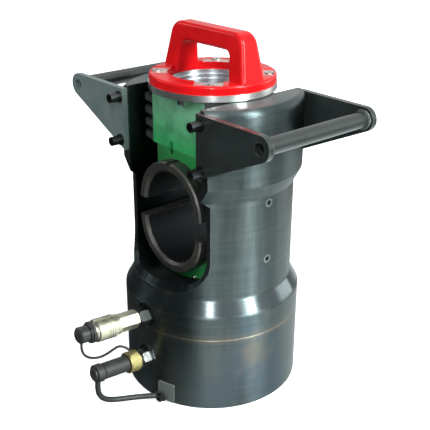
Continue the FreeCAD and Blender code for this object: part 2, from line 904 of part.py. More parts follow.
def handle_window():
    """Finger opening of the handle, wider at its foot, with rounded upper corners."""
    top = handle_top - handle_bar
    low = flange_top - 20.0
    slope = (window_foot_half - window_top_half) / (top - flange_top)
    foot = window_foot_half + slope * 20.0
    outline = [(-foot, low), (foot, low), (window_top_half, top), (-window_top_half, top)]
    solid = upright_slab(outline, -far, far)
    corners = []
    for edge in solid.Edges:
        middle = edge.CenterOfMass
        if abs(middle.z - top) < 1e-4 and abs(abs(middle.x) - window_top_half) < 1e-4:
            corners.append(edge)
    return solid.makeFillet(window_corner, corners)


def arch_side():
    """Shape of the handle seen along X, tapering from wide feet to a slimmer bar."""
    foot_z = flange_top - foot_depth
    outline = [(-foot_half_depth, foot_z), (-top_half_depth, handle_top)]
    outline += [(top_half_depth, handle_top), (foot_half_depth, foot_z)]
    points = [Vector(-far, y, z) for y, z in outline]
    wire = Part.makePolygon(points + points[:1])
    return Part.Face(wire).extrude(Vector(2 * far, 0, 0))


def handle_arch():
    """Grip of the handle with rounded long edges."""
    solid = arch_outline().common(arch_side()).cut(handle_window())
    foot_z = flange_top - foot_depth
    rounded = []
    for edge in solid.Edges:
        middle = edge.CenterOfMass
        level = edge.BoundBox.ZLength < 1e-3
        at_foot = level and abs(middle.z - foot_z) < 1e-3
        if abs(middle.y) > top_half_depth - 4.0 and not at_foot:
            rounded.append(edge)
    return solid.makeFillet(handle_edge, rounded)


def handle():
    """Red casting: flange ring with the grip standing on it."""
    ring = cylinder(flange_radius, flange_bottom, flange_top)
    ring = ring.makeFillet(flange_round, circle_edges_at(ring, flange_top, flange_radius))
    ring = ring.cut(cylinder(flange_hole_radius, flange_bottom - 1, flange_top + 1))
    solid = ring.fuse(handle_arch()).removeSplitter()
    for index in range(4):
        pad = block(0, pad_reach, -pad_width / 2, pad_width / 2, flange_top - pad_depth, flange_top + 8)
        pad = pad.cut(cylinder(flange_hole_radius - 6, 0, far * 4))
        pad.rotate(Vector(0, 0, 0), Vector(0, 0, 1), 45 + 90 * index)
        solid = solid.cut(pad.cut(foot_blocks()))
    for x, y in handle_screw_places():
        solid = solid.cut(cylinder(handle_screw_radius + 0.4, flange_bottom - 1, far * 4, x, y))
        solid = solid.cut(cylinder(1.7 * handle_screw_radius, flange_top - pad_depth - 5, far * 4, x, y))
    return solid


def foot_blocks():
    """Space kept by the handle's feet when the pads are milled."""
    left = block(-far, -window_top_half, -foot_half_depth, foot_half_depth, 0, far * 4)
    right = block(window_top_half, far, -foot_half_depth, foot_half_depth, 0, far * 4)
    return left.fuse(right)


def handle_screws():
    """Four socket screws that hold the handle on the neck."""
    seat = flange_top - pad_depth - 5
    solids = []
    for x, y in handle_screw_places():
        shank = cylinder(handle_screw_radius, flange_bottom - 6, seat, x, y)
        head = cylinder(1.6 * handle_screw_radius, seat, seat + 6.5, x, y)
        socket = hexagon(5, seat + 3, seat + 7.5)
        socket.translate(Vector(x, y, 0))
        solids.append(shank.fuse(head).cut(socket))
    return Part.makeCompound(solids)


def tangent_angle(x, z):
    """Direction of the point where a line from an inner corner touches the bail's round end."""
    distance = math.hypot(bail_end_x - x, bail_end_z - z)
    towards = math.atan2(z - bail_end_z, x - bail_end_x)
    return towards + math.acos(bail_end_radius / distance)


def bail_plate(x_side, y_side):
    """Tapered side plate with a round end and a hole for the tube."""
    top = body_height - bail_top_gap
    inner = slot_half_width
    angle = tangent_angle(inner, bail_foot_z)
    touch_x = bail_end_x + bail_end_radius * math.cos(angle)
    touch = Vector(touch_x, 0, bail_end_z + bail_end_radius * math.sin(angle))
    end_top = Vector(bail_end_x, 0, bail_end_z + bail_end_radius)
    middle = Vector(bail_end_x + bail_end_radius, 0, bail_end_z)
    corner_low = Vector(inner, 0, bail_foot_z)
    corner_top = Vector(inner, 0, top)
    edges = [Part.makeLine(corner_low, touch), Part.Arc(touch, middle, end_top).toShape()]
    edges.append(Part.makeLine(end_top, corner_top))
    edges.append(Part.makeLine(corner_top, corner_low))
    plate = Part.Face(Part.Wire(edges)).extrude(Vector(0, bail_plate_thickness, 0))
    plate = plate.cut(cylinder_y(bail_bore_radius, -1, bail_plate_thickness + 1, bail_end_x, bail_end_z))
    for height in (bail_bolt_low, bail_bolt_high):
        x = slot_half_width + bail_bolt_inset
        plate = plate.cut(cylinder_y(bail_bolt_radius + 0.3, -1, bail_plate_thickness + 1, x, height))
    plate.translate(Vector(0, flat_half_depth, 0))
    if y_side < 0:
        plate = plate.mirror(Vector(0, 0, 0), Vector(0, 1, 0))
    if x_side < 0:
        plate = plate.mirror(Vector(0, 0, 0), Vector(1, 0, 0))
    return plate


def bail_tube(x_side):
    """Grip tube between the two plates of a bail."""
    outer = cylinder_y(bail_tube_radius, -flat_half_depth, flat_half_depth, x_side * bail_end_x, bail_end_z)
    return outer.cut(cylinder_y(bail_bore_radius, -far, far, x_side * bail_end_x, bail_end_z))


def bail_bolts():
    """Eight socket screws of the bails."""
    face = flat_half_depth + bail_plate_thickness + washer_thickness + spring_washer_thickness
    solids = []
    for x, side, z in bail_bolt_places():
        start = flat_half_depth - bail_bolt_depth
        bolt = along_side(bail_bolt_radius, start, face, x, side, z)
        bolt = bolt.fuse(along_side(bail_bolt_head_radius, face, face + bail_bolt_head_height, x, side, z))
        socket_start = face + bail_bolt_head_height - 5
        bolt = bolt.cut(along_side(3.2, socket_start, socket_start + 6, x, side, z))
        solids.append(bolt)
    return Part.makeCompound(solids)


def washers(radius, start, thickness):
    """Washers under the heads of the bail bolts."""
    solids = []
    for x, side, z in bail_bolt_places():
        disc = along_side(radius, start, start + thickness, x, side, z)
        hole = along_side(bail_bolt_radius + 0.1, start - 1, start + thickness + 1, x, side, z)
        solids.append(disc.cut(hole))
    return Part.makeCompound(solids)


def flat_washers():
    """Plain washers against the bail plates."""
    return washers(washer_radius, flat_half_depth + bail_plate_thickness, washer_thickness)


def spring_washers():
    """Lock washers under the bolt heads."""
    start = flat_half_depth + bail_plate_thickness + washer_thickness
    return washers(spring_washer_radius, start, spring_washer_thickness)


def side_plugs():
    """Two socket set screws in the side of the waist."""
    solids = []
    for height in side_screw_heights:
        screw = side_screw(height, waist_radius - side_screw_depth, waist_radius - 0.8, side_screw_radius)
        socket = side_screw(height, waist_radius - 5, waist_radius, 2.0)
        solids.append(screw.cut(socket))
    return Part.makeCompound(solids)


def upper_adapter():
    """Hexagonal nipple between the base and the female coupler, drilled through."""
    solid = turned_hexagon(upper_hex_flats, 0, upper_hex_length, 2.5)
    solid = solid.fuse(cylinder(port_thread_radius, -port_thread_depth + 3, 0.5))
    solid = solid.fuse(cylinder(socket_radius, upper_hex_length - 0.5, upper_hex_length + 12))
    return solid.cut(cylinder(3, -port_thread_depth, upper_hex_length + 13))


def coupler_front():
    """Station of the front face of the female coupler."""
    return upper_hex_length + coupler_length


def sleeve_front():
    """Station of the front end of the locking sleeve."""
    return coupler_front() - 2.0 - snap_ring_width - 0.3


def sleeve_back():
    """Station of the back end of the locking sleeve."""
    return sleeve_front() - sleeve_length


def valve_seat():
    """Station of the poppet's seat."""
    return coupler_front() - 31.0


def ball_station():
    """Station of the ring of locking balls."""
    return coupler_front() - 9.0


def coupler_body():
    """Female coupler: hexagonal back end, tube for the sleeve, socket and valve chamber."""
    start = upper_hex_length
    hex_end = start + coupler_hex_length
    front = coupler_front()
    solid = turned_hexagon(coupler_hex_flats, start, hex_end, 2.5)
    solid = solid.fuse(cylinder(spring_room_radius() - running_clearance, hex_end - 1, spring_back()))
    solid = solid.fuse(cylinder(coupler_body_radius, hex_end, front))
    solid = solid.cut(cylinder(socket_radius, valve_seat() + 2, front + 1))
    solid = solid.cut(cylinder(4.5, valve_seat() - 1, valve_seat() + 3))
    solid = solid.cut(cylinder(socket_radius, start - 1, start + 12))
    solid = solid.cut(cylinder(3, start + 11, start + 15))
    solid = solid.cut(cylinder(socket_radius, start + 14, valve_seat()))
    groove_low = front - 2.0 - snap_ring_width
    solid = solid.cut(tube(coupler_body_radius - 1, coupler_body_radius + 1, groove_low, front - 2.0))
    for index in range(ball_count):
        solid = solid.cut(ball_hole(index, ball_radius + 0.1))
    return solid


def ball_hole(index, radius):
    """Radial hole of one locking ball."""
    angle = math.radians(360.0 * index / ball_count)
    direction = Vector(math.cos(angle), math.sin(angle), 0)
    return Part.makeCylinder(radius, coupler_body_radius + 2, Vector(0, 0, ball_station()), direction)


def lock_balls():
    """Ring of locking balls in the front of the female coupler."""
    solids = []
    place = coupler_body_radius - ball_radius - 0.05
    for index in range(ball_count):
        angle = math.radians(360.0 * index / ball_count)
        centre = Vector(place * math.cos(angle), place * math.sin(angle), ball_station())
        solids.append(Part.makeSphere(ball_radius, centre))
    return Part.makeCompound(solids)


def snap_ring():
    """Retaining ring that stops the sleeve."""
    low = coupler_front() - 2.0 - snap_ring_width
    return tube(coupler_body_radius - 1, coupler_body_radius + 1.6, low, coupler_front() - 2.0)


def locking_sleeve():
    """Sprung sleeve of the female coupler with grip grooves, open at the back for its spring."""
    low = sleeve_back()
    high = sleeve_front()
    outline = [(coupler_body_radius + running_clearance, low), (sleeve_radius - 1.5, low)]
    outline += [(sleeve_radius, low + 1.5), (sleeve_radius, high - 1.5), (sleeve_radius - 1.5, high)]
    outline += [(coupler_body_radius + running_clearance, high)]
    solid = revolved(outline)
    for station in (low + 6, low + 10, low + 14):
        solid = solid.cut(tube(sleeve_radius - 0.7, sleeve_radius + 1, station, station + 1.6))
    return solid.cut(tube(coupler_body_radius, spring_room_radius(), low - 1, high - 9))


def spring_room_radius():
    """Inside radius of the room for the sleeve's spring."""
    return coupler_body_radius + 2 * sleeve_spring_wire + 0.3


def spring_back():
    """Station of the shoulder that the sleeve's spring rests on."""
    return sleeve_back() + 7.0


def sleeve_spring():
    """Spring between the coupler body and the sleeve."""
    base = port_point(upper_port, spring_back())
    way = port_point(upper_port, 1) - port_point(upper_port, 0)
    radius = coupler_body_radius + sleeve_spring_wire + 0.15
    return coil_spring(radius, sleeve_spring_wire, sleeve_length - 16, 5, base, way)


def coupler_poppet():
    """Valve cone of the female coupler with its guide stem."""
    seat = valve_seat()
    outline = [(0, seat - 10), (socket_radius - 0.6, seat - 10), (socket_radius - 0.6, seat - 3)]
    outline += [(4.3, seat - 0.5), (2.5, seat - 0.5), (2.5, seat + 8), (0, seat + 9)]
    return revolved(outline)


def poppet_spring(port, low, high):
    """Spring behind a poppet."""
    way = port_point(port, 1) - port_point(port, 0)
    return coil_spring(socket_radius - 1.6, 0.7, high - low, 5, port_point(port, low), way)


def dust_plug():
    """Black dust plug of the female coupler, with a nose and a lug for its lanyard."""
    front = coupler_front() + 0.05
    neck_end = front + plug_flange_length
    tip = neck_end + plug_cap_length
    outline = [(0, front - 14), (socket_radius - 0.6, front - 14), (socket_radius - 0.1, front - 13)]
    outline += [(socket_radius - 0.1, front), (plug_flange_radius - 0.8, front)]
    outline += [(plug_flange_radius, front + 0.8), (plug_flange_radius, front + 4.2)]
    outline += [(plug_flange_radius - 2, front + 5), (plug_flange_radius - 2, neck_end - 1)]
    outline += [(plug_cap_radius - 1, neck_end - 1), (plug_cap_radius - 1, neck_end)]
    outline += [(plug_cap_radius, neck_end + 0.8), (plug_cap_radius, tip - 2)]
    outline += [(plug_cap_radius - 2, tip), (0, tip)]
    solid = revolved(outline)
    lug_start = Vector(0, -plug_cap_radius + 2, lanyard_station())
    lug = Part.makeCylinder(2.6, 3.5, lug_start, Vector(0, -1, 0))
    return solid.fuse(lug)


def lanyard_station():
    """Station of the lanyard's lug on the dust plug."""
    return coupler_front() + plug_flange_length + plug_cap_length - 6.0


def lanyard_start():
    """Point where the lanyard leaves the dust plug."""
    return port_point(upper_port, lanyard_station(), plug_cap_radius + 1.5)


def lower_nipple():
    """Male nipple with its hexagon, neck and bored nose."""
    nose = nipple_front()
    solid = turned_hexagon(lower_hex_flats, 0, lower_hex_length, 2.2)
    solid = solid.fuse(cylinder(port_thread_radius, -port_thread_depth + 3, 0.5))
    solid = solid.fuse(cylinder(neck_radius_lower, lower_hex_length - 0.5, lower_hex_length + 4.5))
    stop = lower_hex_length + 4
    solid = solid.fuse(cylinder(nipple_radius, stop, nose - 1))
    solid = solid.fuse(Part.makeCone(nipple_radius, nipple_radius - 1, 1, Vector(0, 0, nose - 1)))
    solid = solid.cut(cylinder(3, -port_thread_depth, stop + 10))
    solid = solid.cut(cylinder(socket_radius, stop + 9, nipple_seat()))
    return solid.cut(cylinder(4.5, nipple_seat() - 1, nose + 1))


def nipple_front():
    """Station of the front face of the male nipple."""
    return lower_hex_length + 4 + collar_nut_length + nipple_nose_length


def nipple_seat():
    """Station of the poppet's seat in the male nipple."""
    return nipple_front() - 7.0


def nipple_poppet():
    """Valve cone of the male nipple."""
    seat = nipple_seat()
    outline = [(0, seat - 10), (socket_radius - 0.6, seat - 10), (socket_radius - 0.6, seat - 3)]
    outline += [(4.3, seat - 0.5), (2.5, seat - 0.5), (2.5, seat + 5), (0, seat + 5.5)]
    return revolved(outline)


def collar_nut():
    """Knurled brass collar that turns on the male nipple."""
    low = lower_hex_length + 4.6
    high = low + collar_nut_length - 0.8
    inner = nipple_radius + running_clearance
    outline = [(inner, low), (collar_nut_radius - 1.2, low), (collar_nut_radius, low + 1.2)]
    outline += [(collar_nut_radius, high - 1.2), (collar_nut_radius - 1.2, high), (inner, high)]
    solid = revolved(outline)
    cutters = []
    for index in range(collar_knurls):
        angle = math.radians(360.0 * index / collar_knurls)
        place = collar_nut_radius + 0.5
        cutters.append(cylinder(1.1, low + 3, high - 3, place * math.cos(angle), place * math.sin(angle)))
    return solid.cut(Part.makeCompound(cutters))


def dust_cap():
    """Rubber cap pushed over the male nipple, with a waisted end for the strap's eye."""
    low = cap_back()
    high = low + dust_cap_length
    end = high + eye_length + 1.2
    outline = [(0, low), (dust_cap_radius - 0.8, low), (dust_cap_radius, low + 0.8)]
    outline += [(dust_cap_radius, high - 1.5), (dust_cap_radius - 1.5, high)]
    outline += [(dust_cap_neck, high), (dust_cap_neck, end - 0.6), (dust_cap_neck + 1.4, end - 0.5)]
    outline += [(dust_cap_neck + 1.0, end + 1.5), (dust_cap_neck - 2, end + 2.2), (0, end + 2.2)]
    solid = revolved(outline)
    return solid.cut(cylinder(nipple_radius + 0.02, low - 1, nipple_front() + 1))


def cap_back():
    """Station of the open end of the rubber cap."""
    return lower_hex_length + 4.6 + collar_nut_length - 0.6


def eye_station():
    """Station of the middle of the strap's eye."""
    return cap_back() + dust_cap_length + 0.4 + eye_length / 2.0


def strap_eye():
    """Rubber ring round the waisted end of the cap, with the root of the strap."""
    low = eye_station() - eye_length / 2.0
    ring = tube(dust_cap_neck + 0.02, eye_radius, low, low + eye_length)
    edges = circle_edges_at(ring, low, eye_radius) + circle_edges_at(ring, low + eye_length, eye_radius)
    ring = ring.makeFillet(1.5, edges)
    start = Vector(0, -eye_radius + 3, eye_station())
    return ring.fuse(Part.makeCylinder(strap_radius, 5.0, start, Vector(0, -1, 0)))


def strap_start():
    """Point where the strap leaves its eye."""
    return port_point(lower_port, eye_station(), eye_radius + 2.0)


def lanyard_eye():
    """Small ring round the neck of the male nipple, with the ferrule of the lanyard's end."""
    low = lower_hex_length + 0.5
    ring = tube(neck_radius_lower + 0.02, neck_radius_lower + 3, low, low + 3.0)
    return ring.fuse(Part.makeCylinder(1.6, lug_length, lug_root(), lug_direction()))


def lug_root():
    """Root of the ferrule on the lanyard's ring, in the coupler's own frame."""
    return Vector(-neck_radius_lower - 1.0, 3.0, lower_hex_length + 2.0)


def lug_direction():
    """Direction in which the lanyard leaves its ring, in the coupler's own frame."""
    return Vector(-0.88, 0.36, 0.3).normalize()


def lanyard_end():
    """Point where the lanyard meets its ring."""
    tip = lug_root() + lug_direction() * lug_length
    return port_point(lower_port, tip.z, -tip.y, tip.x)


def anchor_plate():
    """Small steel plate bolted to the foot of the base."""
    half = anchor_width / 2.0
    top = anchor_bottom + anchor_height
    plate = block(-half, half, -anchor_seat() - anchor_thickness, -anchor_seat(), anchor_bottom, top)
    edges = [edge for edge in plate.Edges if edge.BoundBox.YLength > anchor_thickness - 0.01]
    plate = plate.makeFillet(2.0, edges)
    hole = cylinder_y(anchor_bolt_radius + 0.2, -base_radius - 10, 0, anchor_bolt_x(), anchor_bolt_z())
    return on_anchor(plate.cut(hole))


def strap_tab():
    """Flat rubber end of the strap, clamped by the anchor bolt, with a round root."""
    back = -anchor_seat() - anchor_thickness
    left = -anchor_width / 2.0 - 3.0
    right = left + tab_width + 3.0
    tab = block(left, right, back - tab_thickness, back, anchor_bottom, anchor_bottom + tab_height)
    corners = [edge for edge in tab.Edges if edge.BoundBox.YLength > tab_thickness - 0.01]
    tab = tab.makeFillet(3.0, corners)
    root = Part.makeCylinder(strap_radius, tab_root_length, tab_root(), tab_direction())
    hole = cylinder_y(anchor_bolt_radius + 0.1, back - 20, back + 1, anchor_bolt_x(), anchor_bolt_z())
    return on_anchor(tab.fuse(root).cut(hole))


def tab_root():
    """Start of the round root inside the flat end, in the anchor's frame."""
    y = -anchor_seat() - anchor_thickness - strap_radius
    return Vector(-anchor_width / 2.0 - 1.0, y - 0.1, anchor_bolt_z())


def tab_direction():
    """Direction in which the strap leaves its flat end, in the anchor's frame."""
    return Vector(-0.8, -0.6, 0.0)


def tab_travel():
    """Direction in which the strap leaves its flat end."""
    return anchor_placement().Rotation.multVec(tab_direction())


def strap_end():
    """Point where the strap meets its flat end."""
    return anchor_placement().multVec(tab_root() + tab_direction() * tab_root_length)


def anchor_bolt():
    """Bolt of the tether anchor."""
    back = -anchor_seat() - anchor_thickness - tab_thickness
    x = anchor_bolt_x()
    z = anchor_bolt_z()
    shank = cylinder_y(anchor_bolt_radius, back, -base_radius + 14, x, z)
    head = cylinder_y(anchor_bolt_head, back - 5, back, x, z)
    socket = cylinder_y(2.5, back - 6, back - 2, x, z)
    return on_anchor(shank.fuse(head).cut(socket))


def lanyard_points():
    """Route of the thin lanyard from the dust plug to its ring."""
    start = lanyard_start()
    points = [start, start + port_down() * 10.5]
    points += [Vector(5.5, -232.5, 108.0), Vector(3.0, -220.0, 98.0), Vector(-2.0, -204.5, 90.5)]
    points += [Vector(-10.0, -187.5, 85.0), Vector(-18.5, -171.0, 81.5), Vector(-23.3, -158.7, 79.4)]
    points += [lanyard_end() - lug_travel() * 10.0, lanyard_end()]
    return points


def port_down():
    """Direction straight down across a coupler."""
    return port_point(lower_port, 0, 1.0) - lower_port


def lug_travel():
    """Direction in which the lanyard runs into its ring."""
    tip = lug_direction()
    return lower_port - port_point(lower_port, tip.z, -tip.y, tip.x)


def strap_points():
    """Route of the thick strap from the rubber cap to the anchor."""
    start = strap_start()
    points = [start, start + port_down() * 12.8]
    points += [Vector(6.5, -212.8, 32.0), Vector(7.0, -202.8, 22.6), Vector(8.5, -187.0, 16.5)]
    points += [Vector(12.0, -169.5, 12.6), strap_end() + tab_travel() * 15.8, strap_end()]
    return points


def arc_radius(before, corner, after):
    """Radius of the bend at a corner of a route, and how far it reaches along each run."""
    first = (before - corner).normalize()
    second = (after - corner).normalize()
    turn = math.pi - first.getAngle(second)
    reach = 0.45 * min((before - corner).Length, (after - corner).Length)
    return reach / math.tan(turn / 2.0), reach, first, second


def routed_tube(name, points, radius):
    """Tube along straight runs joined by tangent arcs."""
    edges = []
    radii = []
    current = points[0]
    for index in range(1, len(points) - 1):
        bend, reach, first, second = arc_radius(points[index - 1], points[index], points[index + 1])
        radii.append(round(bend, 1))
        start = points[index] + first * reach
        end = points[index] + second * reach
        inward = (first + second).normalize()
        half_open = first.getAngle(second) / 2.0
        middle = points[index] + inward * (bend / math.sin(half_open) - bend)
        edges.append(Part.makeLine(current, start))
        edges.append(Part.Arc(start, middle, end).toShape())
        current = end
    edges.append(Part.makeLine(current, points[-1]))
    path = Part.Wire(edges)
    direction = (points[1] - points[0]).normalize()
    section = Part.Wire(Part.makeCircle(radius, points[0], direction))
    solid = path.makePipeShell([section], True, False)
    expected = math.pi * radius ** 2 * path.Length
    share = round(solid.Volume / expected, 3)
    print(name, "length", round(path.Length, 1), "bend radii", radii, "volume share", share)
    return solid


def cap_lanyard():
    """Thin lanyard of the dust plug."""
    return routed_tube("cap_lanyard", lanyard_points(), lanyard_radius)


def cap_strap():
    """Thick rubber strap of the dust cap."""
    return routed_tube("cap_strap", strap_points(), strap_radius)


def ring_parts():
    """Seals and bearing rings of the gland and the piston."""
    parts = {}
    for name in gland_grooves():
        parts[name] = ring_in_gland(name)
    for name in piston_grooves():
        parts[name] = ring_on_piston(name)
    return parts


def head_parts():
    """Yoke, cap, ram, holders and dies."""
    return {
        "yoke_body": yoke_body(),
        "bottom_cap": bottom_cap(),
        "cap_seal": cap_seal(),
        "ram": ram(),
        "lower_die_holder": lower_die_holder(),
        "lower_holder_screws": holder_screws(),
        "lower_die_keys": die_key(lower_seat, 0.0),
        "lower_die": lower_die(),
        "upper_die": upper_die(),
        "upper_die_holder": upper_die_holder(),
        "upper_die_keys": die_key(upper_seat, 0.0),
        "swivel_stud": swivel_stud(),
        "side_plugs": side_plugs(),
    }


def button_parts():
    """Spring buttons of both holders."""
    latch_front = flat_front + latch_slot_depth
    return {
        "latch_button": button_pin(latch_x, latch_z(), latch_front, latch_slot_depth - 2.0),
        "latch_spring": button_spring(latch_x, latch_z(), latch_front),
        "release_button": button_pin(release_x, release_z(), flat_front, release_stand),
        "release_spring": button_spring(release_x, release_z(), flat_front),
    }


def plug_parts():
    """Breech plug with its handle."""
    return {
        "breech_plug": breech_plug(),
        "handle": handle(),
        "handle_screws": handle_screws(),
    }


def bail_parts():
    """Lifting bails with their fasteners."""
    parts = {}
    for x_name, x_side in (("left", -1), ("right", 1)):
        for y_name, y_side in (("front", -1), ("rear", 1)):
            parts["bail_plate_" + x_name + "_" + y_name] = bail_plate(x_side, y_side)
        parts["bail_tube_" + x_name] = bail_tube(x_side)
    parts["bail_bolts"] = bail_bolts()
    parts["bail_flat_washers"] = flat_washers()
    parts["bail_spring_washers"] = spring_washers()
    return parts


def upper_coupler_parts():
    """Female coupler with its dust plug."""
    seat = valve_seat()
    return {
        "upper_adapter": at_port(upper_adapter(), upper_port),
        "upper_coupler_body": at_port(coupler_body(), upper_port),
        "upper_lock_balls": at_port(lock_balls(), upper_port),
        "upper_snap_ring": at_port(snap_ring(), upper_port),
        "upper_sleeve": at_port(locking_sleeve(), upper_port),
        "upper_sleeve_spring": sleeve_spring(),
        "upper_poppet": at_port(coupler_poppet(), upper_port),
        "upper_poppet_spring": poppet_spring(upper_port, upper_hex_length + 15, seat - 10),
        "upper_dust_plug": at_port(dust_plug(), upper_port),
        "cap_lanyard": cap_lanyard(),
        "lanyard_eye": at_port(lanyard_eye(), lower_port),
    }


def lower_coupler_parts():
    """Male coupler with its rubber cap, strap and anchor."""
    low = lower_hex_length + 13.0
    return {
        "lower_nipple": at_port(lower_nipple(), lower_port),
        "lower_poppet": at_port(nipple_poppet(), lower_port),
        "lower_poppet_spring": poppet_spring(lower_port, low + 2, nipple_seat() - 10),
        "lower_collar_nut": at_port(collar_nut(), lower_port),
        "lower_dust_cap": at_port(dust_cap(), lower_port),
        "strap_eye": at_port(strap_eye(), lower_port),
        "cap_strap": cap_strap(),
        "strap_tab": strap_tab(),
        "anchor_plate": anchor_plate(),
        "anchor_bolt": anchor_bolt(),
    }


def write(parts):
    """Write each node to its own file."""
    os.makedirs("parts", exist_ok=True)
    for name, shape in parts.items():
        if shape.isNull() or not shape.isValid():
            raise ValueError(name + " is not a valid solid")
        shape.exportStep("parts/" + name + ".step")


nodes = {}
nodes.update(head_parts())
nodes.update(ring_parts())
nodes.update(button_parts())
nodes.update(plug_parts())
nodes.update(bail_parts())
nodes.update(upper_coupler_parts())
nodes.update(lower_coupler_parts())
write(nodes)
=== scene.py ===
import math

import bpy
import numpy as np
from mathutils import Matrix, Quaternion, Vector


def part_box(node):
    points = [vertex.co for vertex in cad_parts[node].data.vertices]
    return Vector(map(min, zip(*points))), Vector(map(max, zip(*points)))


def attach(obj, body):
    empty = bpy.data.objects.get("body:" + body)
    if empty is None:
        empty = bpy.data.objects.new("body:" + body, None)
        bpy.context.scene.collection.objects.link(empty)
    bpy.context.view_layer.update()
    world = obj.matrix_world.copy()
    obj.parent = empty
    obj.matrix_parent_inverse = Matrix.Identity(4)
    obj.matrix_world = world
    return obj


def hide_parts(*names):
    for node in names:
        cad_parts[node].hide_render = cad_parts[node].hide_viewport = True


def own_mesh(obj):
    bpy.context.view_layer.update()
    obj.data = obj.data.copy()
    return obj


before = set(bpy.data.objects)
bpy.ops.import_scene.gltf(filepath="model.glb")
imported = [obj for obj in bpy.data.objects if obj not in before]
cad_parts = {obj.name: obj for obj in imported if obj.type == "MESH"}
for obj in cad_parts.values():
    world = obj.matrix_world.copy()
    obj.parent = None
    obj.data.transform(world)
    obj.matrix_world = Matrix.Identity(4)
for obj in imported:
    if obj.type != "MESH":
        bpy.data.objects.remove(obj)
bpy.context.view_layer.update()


# Camera
# A long lens sees the head in three quarters, from its front right and from above,
# at the angle of the photograph. All sizes here are metres.
scene = bpy.context.scene
camera_azimuth = math.radians(48.92)
camera_elevation = math.radians(23.65)
camera_roll = math.radians(0.33)
camera_distance = 1.16808
aim_height = 0.2509
aim_shift = 0.00427
level_reach = math.cos(camera_elevation)
back = Vector((math.sin(camera_azimuth) * level_reach,
               -math.cos(camera_azimuth) * level_reach,
               math.sin(camera_elevation)))
right = Vector((math.cos(camera_azimuth), math.sin(camera_azimuth), 0.0))
camera_data = bpy.data.cameras.new("camera")
camera_data.sensor_width = 36.0
camera_data.lens = 66.38
camera_data.clip_start = 0.01
camera_data.clip_end = 60.0
camera = bpy.data.objects.new("camera", camera_data)
scene.collection.objects.link(camera)
camera.location = Vector((0.0, 0.0, aim_height)) + right * aim_shift + back * camera_distance
camera.rotation_mode = "QUATERNION"
camera.rotation_quaternion = (-back).to_track_quat("-Z", "Y") @ Quaternion((0.0, 0.0, 1.0), camera_roll)
scene.camera = camera


# World and floor
# The head stands on a pale floor that fades into white. Turned steel mirrors its room, so gloss
# sees a room that is bright on the right and dark on the left, and a floor whose colour in gloss is painted
# light on the right and painted shade on the left and far out.
def material(name):
    """New node material, its node tree and its shader."""
    made = bpy.data.materials.new(name)
    made.use_nodes = True
    tree = made.node_tree
    return made, tree, tree.nodes["Principled BSDF"]


def calculate(tree, operation, first, second):
    """Math on two values, each a number or a socket."""
    node = tree.nodes.new("ShaderNodeMath")
    node.operation = operation
    for socket, value in zip(node.inputs, (first, second)):
        if isinstance(value, float):
            socket.default_value = value
        else:
            tree.links.new(value, socket)
    return node.outputs[0]


def multiply(tree, first, second):
    """Product of two values."""
    return calculate(tree, "MULTIPLY", first, second)


def remap(tree, source, start, end, new_start, new_end):
    """Map a value from one range to another, clamped."""
    node = tree.nodes.new("ShaderNodeMapRange")
    node.inputs["From Min"].default_value = start
    node.inputs["From Max"].default_value = end
    node.inputs["To Min"].default_value = new_start
    node.inputs["To Max"].default_value = new_end
    tree.links.new(source, node.inputs["Value"])
    return node.outputs["Result"]


def blend_colour(tree, factor, first, second):
    """Mix of two colours by a factor, where a colour is a value or a socket."""
    node = tree.nodes.new("ShaderNodeMix")
    node.data_type = "RGBA"
    tree.links.new(factor, node.inputs["Factor"])
    for label, colour in (("A", first), ("B", second)):
        if isinstance(colour, tuple):
            node.inputs[label].default_value = colour
        else:
            tree.links.new(colour, node.inputs[label])
    return node.outputs["Result"]


def coordinates(tree, kind):
    """Object or generated coordinates."""
    return tree.nodes.new("ShaderNodeTexCoord").outputs[kind]


def reach_along(tree, source, direction):
    """How far a vector reaches along a direction."""
    node = tree.nodes.new("ShaderNodeVectorMath")
    node.operation = "DOT_PRODUCT"
    node.inputs[1].default_value = direction
    tree.links.new(source, node.inputs[0])
    return node.outputs["Value"]


def vector_length(tree, source):
    """Length of a vector."""
    node = tree.nodes.new("ShaderNodeVectorMath")
    node.operation = "LENGTH"
    tree.links.new(source, node.inputs[0])
    return node.outputs["Value"]


def light_path(tree):
    """Camera rays, and rays seen in gloss or through glass, as two masks."""
    rays = tree.nodes.new("ShaderNodeLightPath")
    gloss = calculate(tree, "MAXIMUM", rays.outputs["Is Glossy Ray"], rays.outputs["Is Transmission Ray"])
    return rays.outputs["Is Camera Ray"], gloss


world = bpy.data.worlds.new("world")
scene.world = world
world.use_nodes = True
sky_tree = world.node_tree
seen_sky, mirrored_sky = light_path(sky_tree)
side_reach = reach_along(sky_tree, coordinates(sky_tree, "Generated"), right)
side_light = remap(sky_tree, side_reach, -0.55, 0.10, 0.0, 1.0)
mirrored_air = blend_colour(sky_tree, side_light, (0.08, 0.09, 0.09, 1.0), (0.92, 0.95, 0.95, 1.0))
air = blend_colour(sky_tree, mirrored_sky, (0.30, 0.325, 0.33, 1.0), mirrored_air)
air = blend_colour(sky_tree, seen_sky, air, (1.0, 1.0, 1.0, 1.0))
sky_tree.links.new(air, sky_tree.nodes["Background"].inputs["Color"])

